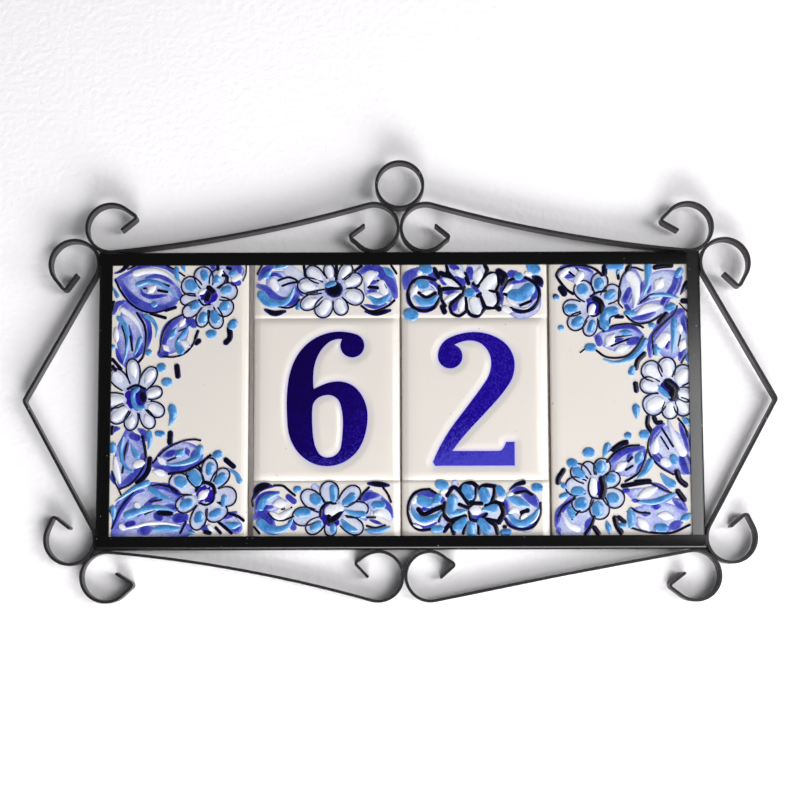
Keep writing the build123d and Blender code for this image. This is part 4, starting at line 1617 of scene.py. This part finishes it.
# Hanging ring: a hoop of the same strip in the same paint, welded in the cleft of the two top curls.
# The whole plaque hangs by it.
painted_steel("hanging_ring", sheen_grey_black)


# Wall: a white plastered wall that the plaque hangs on. It can be seen through from behind,
# and it casts no shadow, so that a lamp behind it lights the plaque's back.
wall_size = 6.0
wall_gap = 2.4 * mm
wall_lean = radians(1.0)


def plaster():
    """White painted plaster, a little lumpy."""
    made, shade = material("plaster", {"Roughness": 0.9, "Specular IOR Level": 0.1})
    lumps = noise(shade, size=3 * mm, detail=4)
    feed(made, {
        "Base Color": blend(noise(shade, size=60 * mm), linear(245, 243, 245), linear(250, 248, 250)),
        "Normal": bumps(lumps, depth=0.35 * mm),
    })
    behind = shade.add("ShaderNodeNewGeometry", {}, {}, "Backfacing")
    clear = shade.add("ShaderNodeBsdfTransparent", {}, {})
    tree = made.node_tree
    surface = Shade(tree, tree.nodes["Principled BSDF"].outputs[0])
    shown = shade.add("ShaderNodeMixShader", {}, {0: behind, 1: surface, 2: clear})
    tree.links.new(shown.socket, tree.nodes["Material Output"].inputs["Surface"])
    return made


bpy.ops.object.select_all(action="DESELECT")
wall_middle = (0, wall_gap, (cad_box[0].z + cad_box[1].z) / 2)
bpy.ops.mesh.primitive_plane_add(size=wall_size, location=wall_middle, rotation=(pi / 2 - wall_lean, 0, 0))
wall = bpy.context.object
wall.name = "wall"
wall.visible_shadow = False
wall.data.materials.append(plaster())


# Light: a soft lamp to the right and one low below the plaque, which throws soft shadows up the wall,
# with weak lamps that fill the shadows.
room_glow = 0.12
plaque_middle = (cad_box[0] + cad_box[1]) / 2


def lamp(name, across, below, distance, width, height, power):
    """A soft lamp that faces the plaque from so many degrees to the right and below."""
    turn = radians(across)
    tilt = radians(below)
    away = Vector((np.sin(turn) * np.cos(tilt), -np.cos(turn) * np.cos(tilt), -np.sin(tilt)))
    bpy.ops.object.light_add(type="AREA", location=plaque_middle + away * distance)
    made = bpy.context.object
    made.name = name
    made.rotation_mode = "QUATERNION"
    made.rotation_quaternion = away.to_track_quat("Z", "Y")
    made.data.shape = "RECTANGLE"
    made.data.size = width
    made.data.size_y = height
    made.data.energy = power
    made.visible_camera = False
    return made


lamp("main_lamp", across=38, below=2, distance=2.2, width=1.15, height=0.8, power=21)
lamp("grazing_lamp", across=68, below=6, distance=1.8, width=0.7, height=0.9, power=12)
lamp("glint_strip", across=36, below=4, distance=2.2, width=0.14, height=0.5, power=2.2)
lamp("side_strip", across=17, below=-4, distance=2.2, width=0.16, height=0.5, power=1.8)
lamp("low_lamp", across=24, below=58, distance=1.2, width=1.0, height=0.5, power=18.5)
lamp("front_glow", across=8, below=36, distance=1.6, width=1.2, height=0.35, power=3.8)
lamp("left_fill", across=-62, below=-5, distance=1.6, width=0.9, height=1.4, power=0.4)
lamp("back_lamp", across=180, below=-20, distance=1.8, width=1.5, height=1.5, power=14)

world = bpy.data.worlds.new("room")
bpy.context.scene.world = world
world.use_nodes = True
background = world.node_tree.nodes["Background"]
background.inputs["Color"].default_value = linear(250, 250, 252)
background.inputs["Strength"].default_value = room_glow
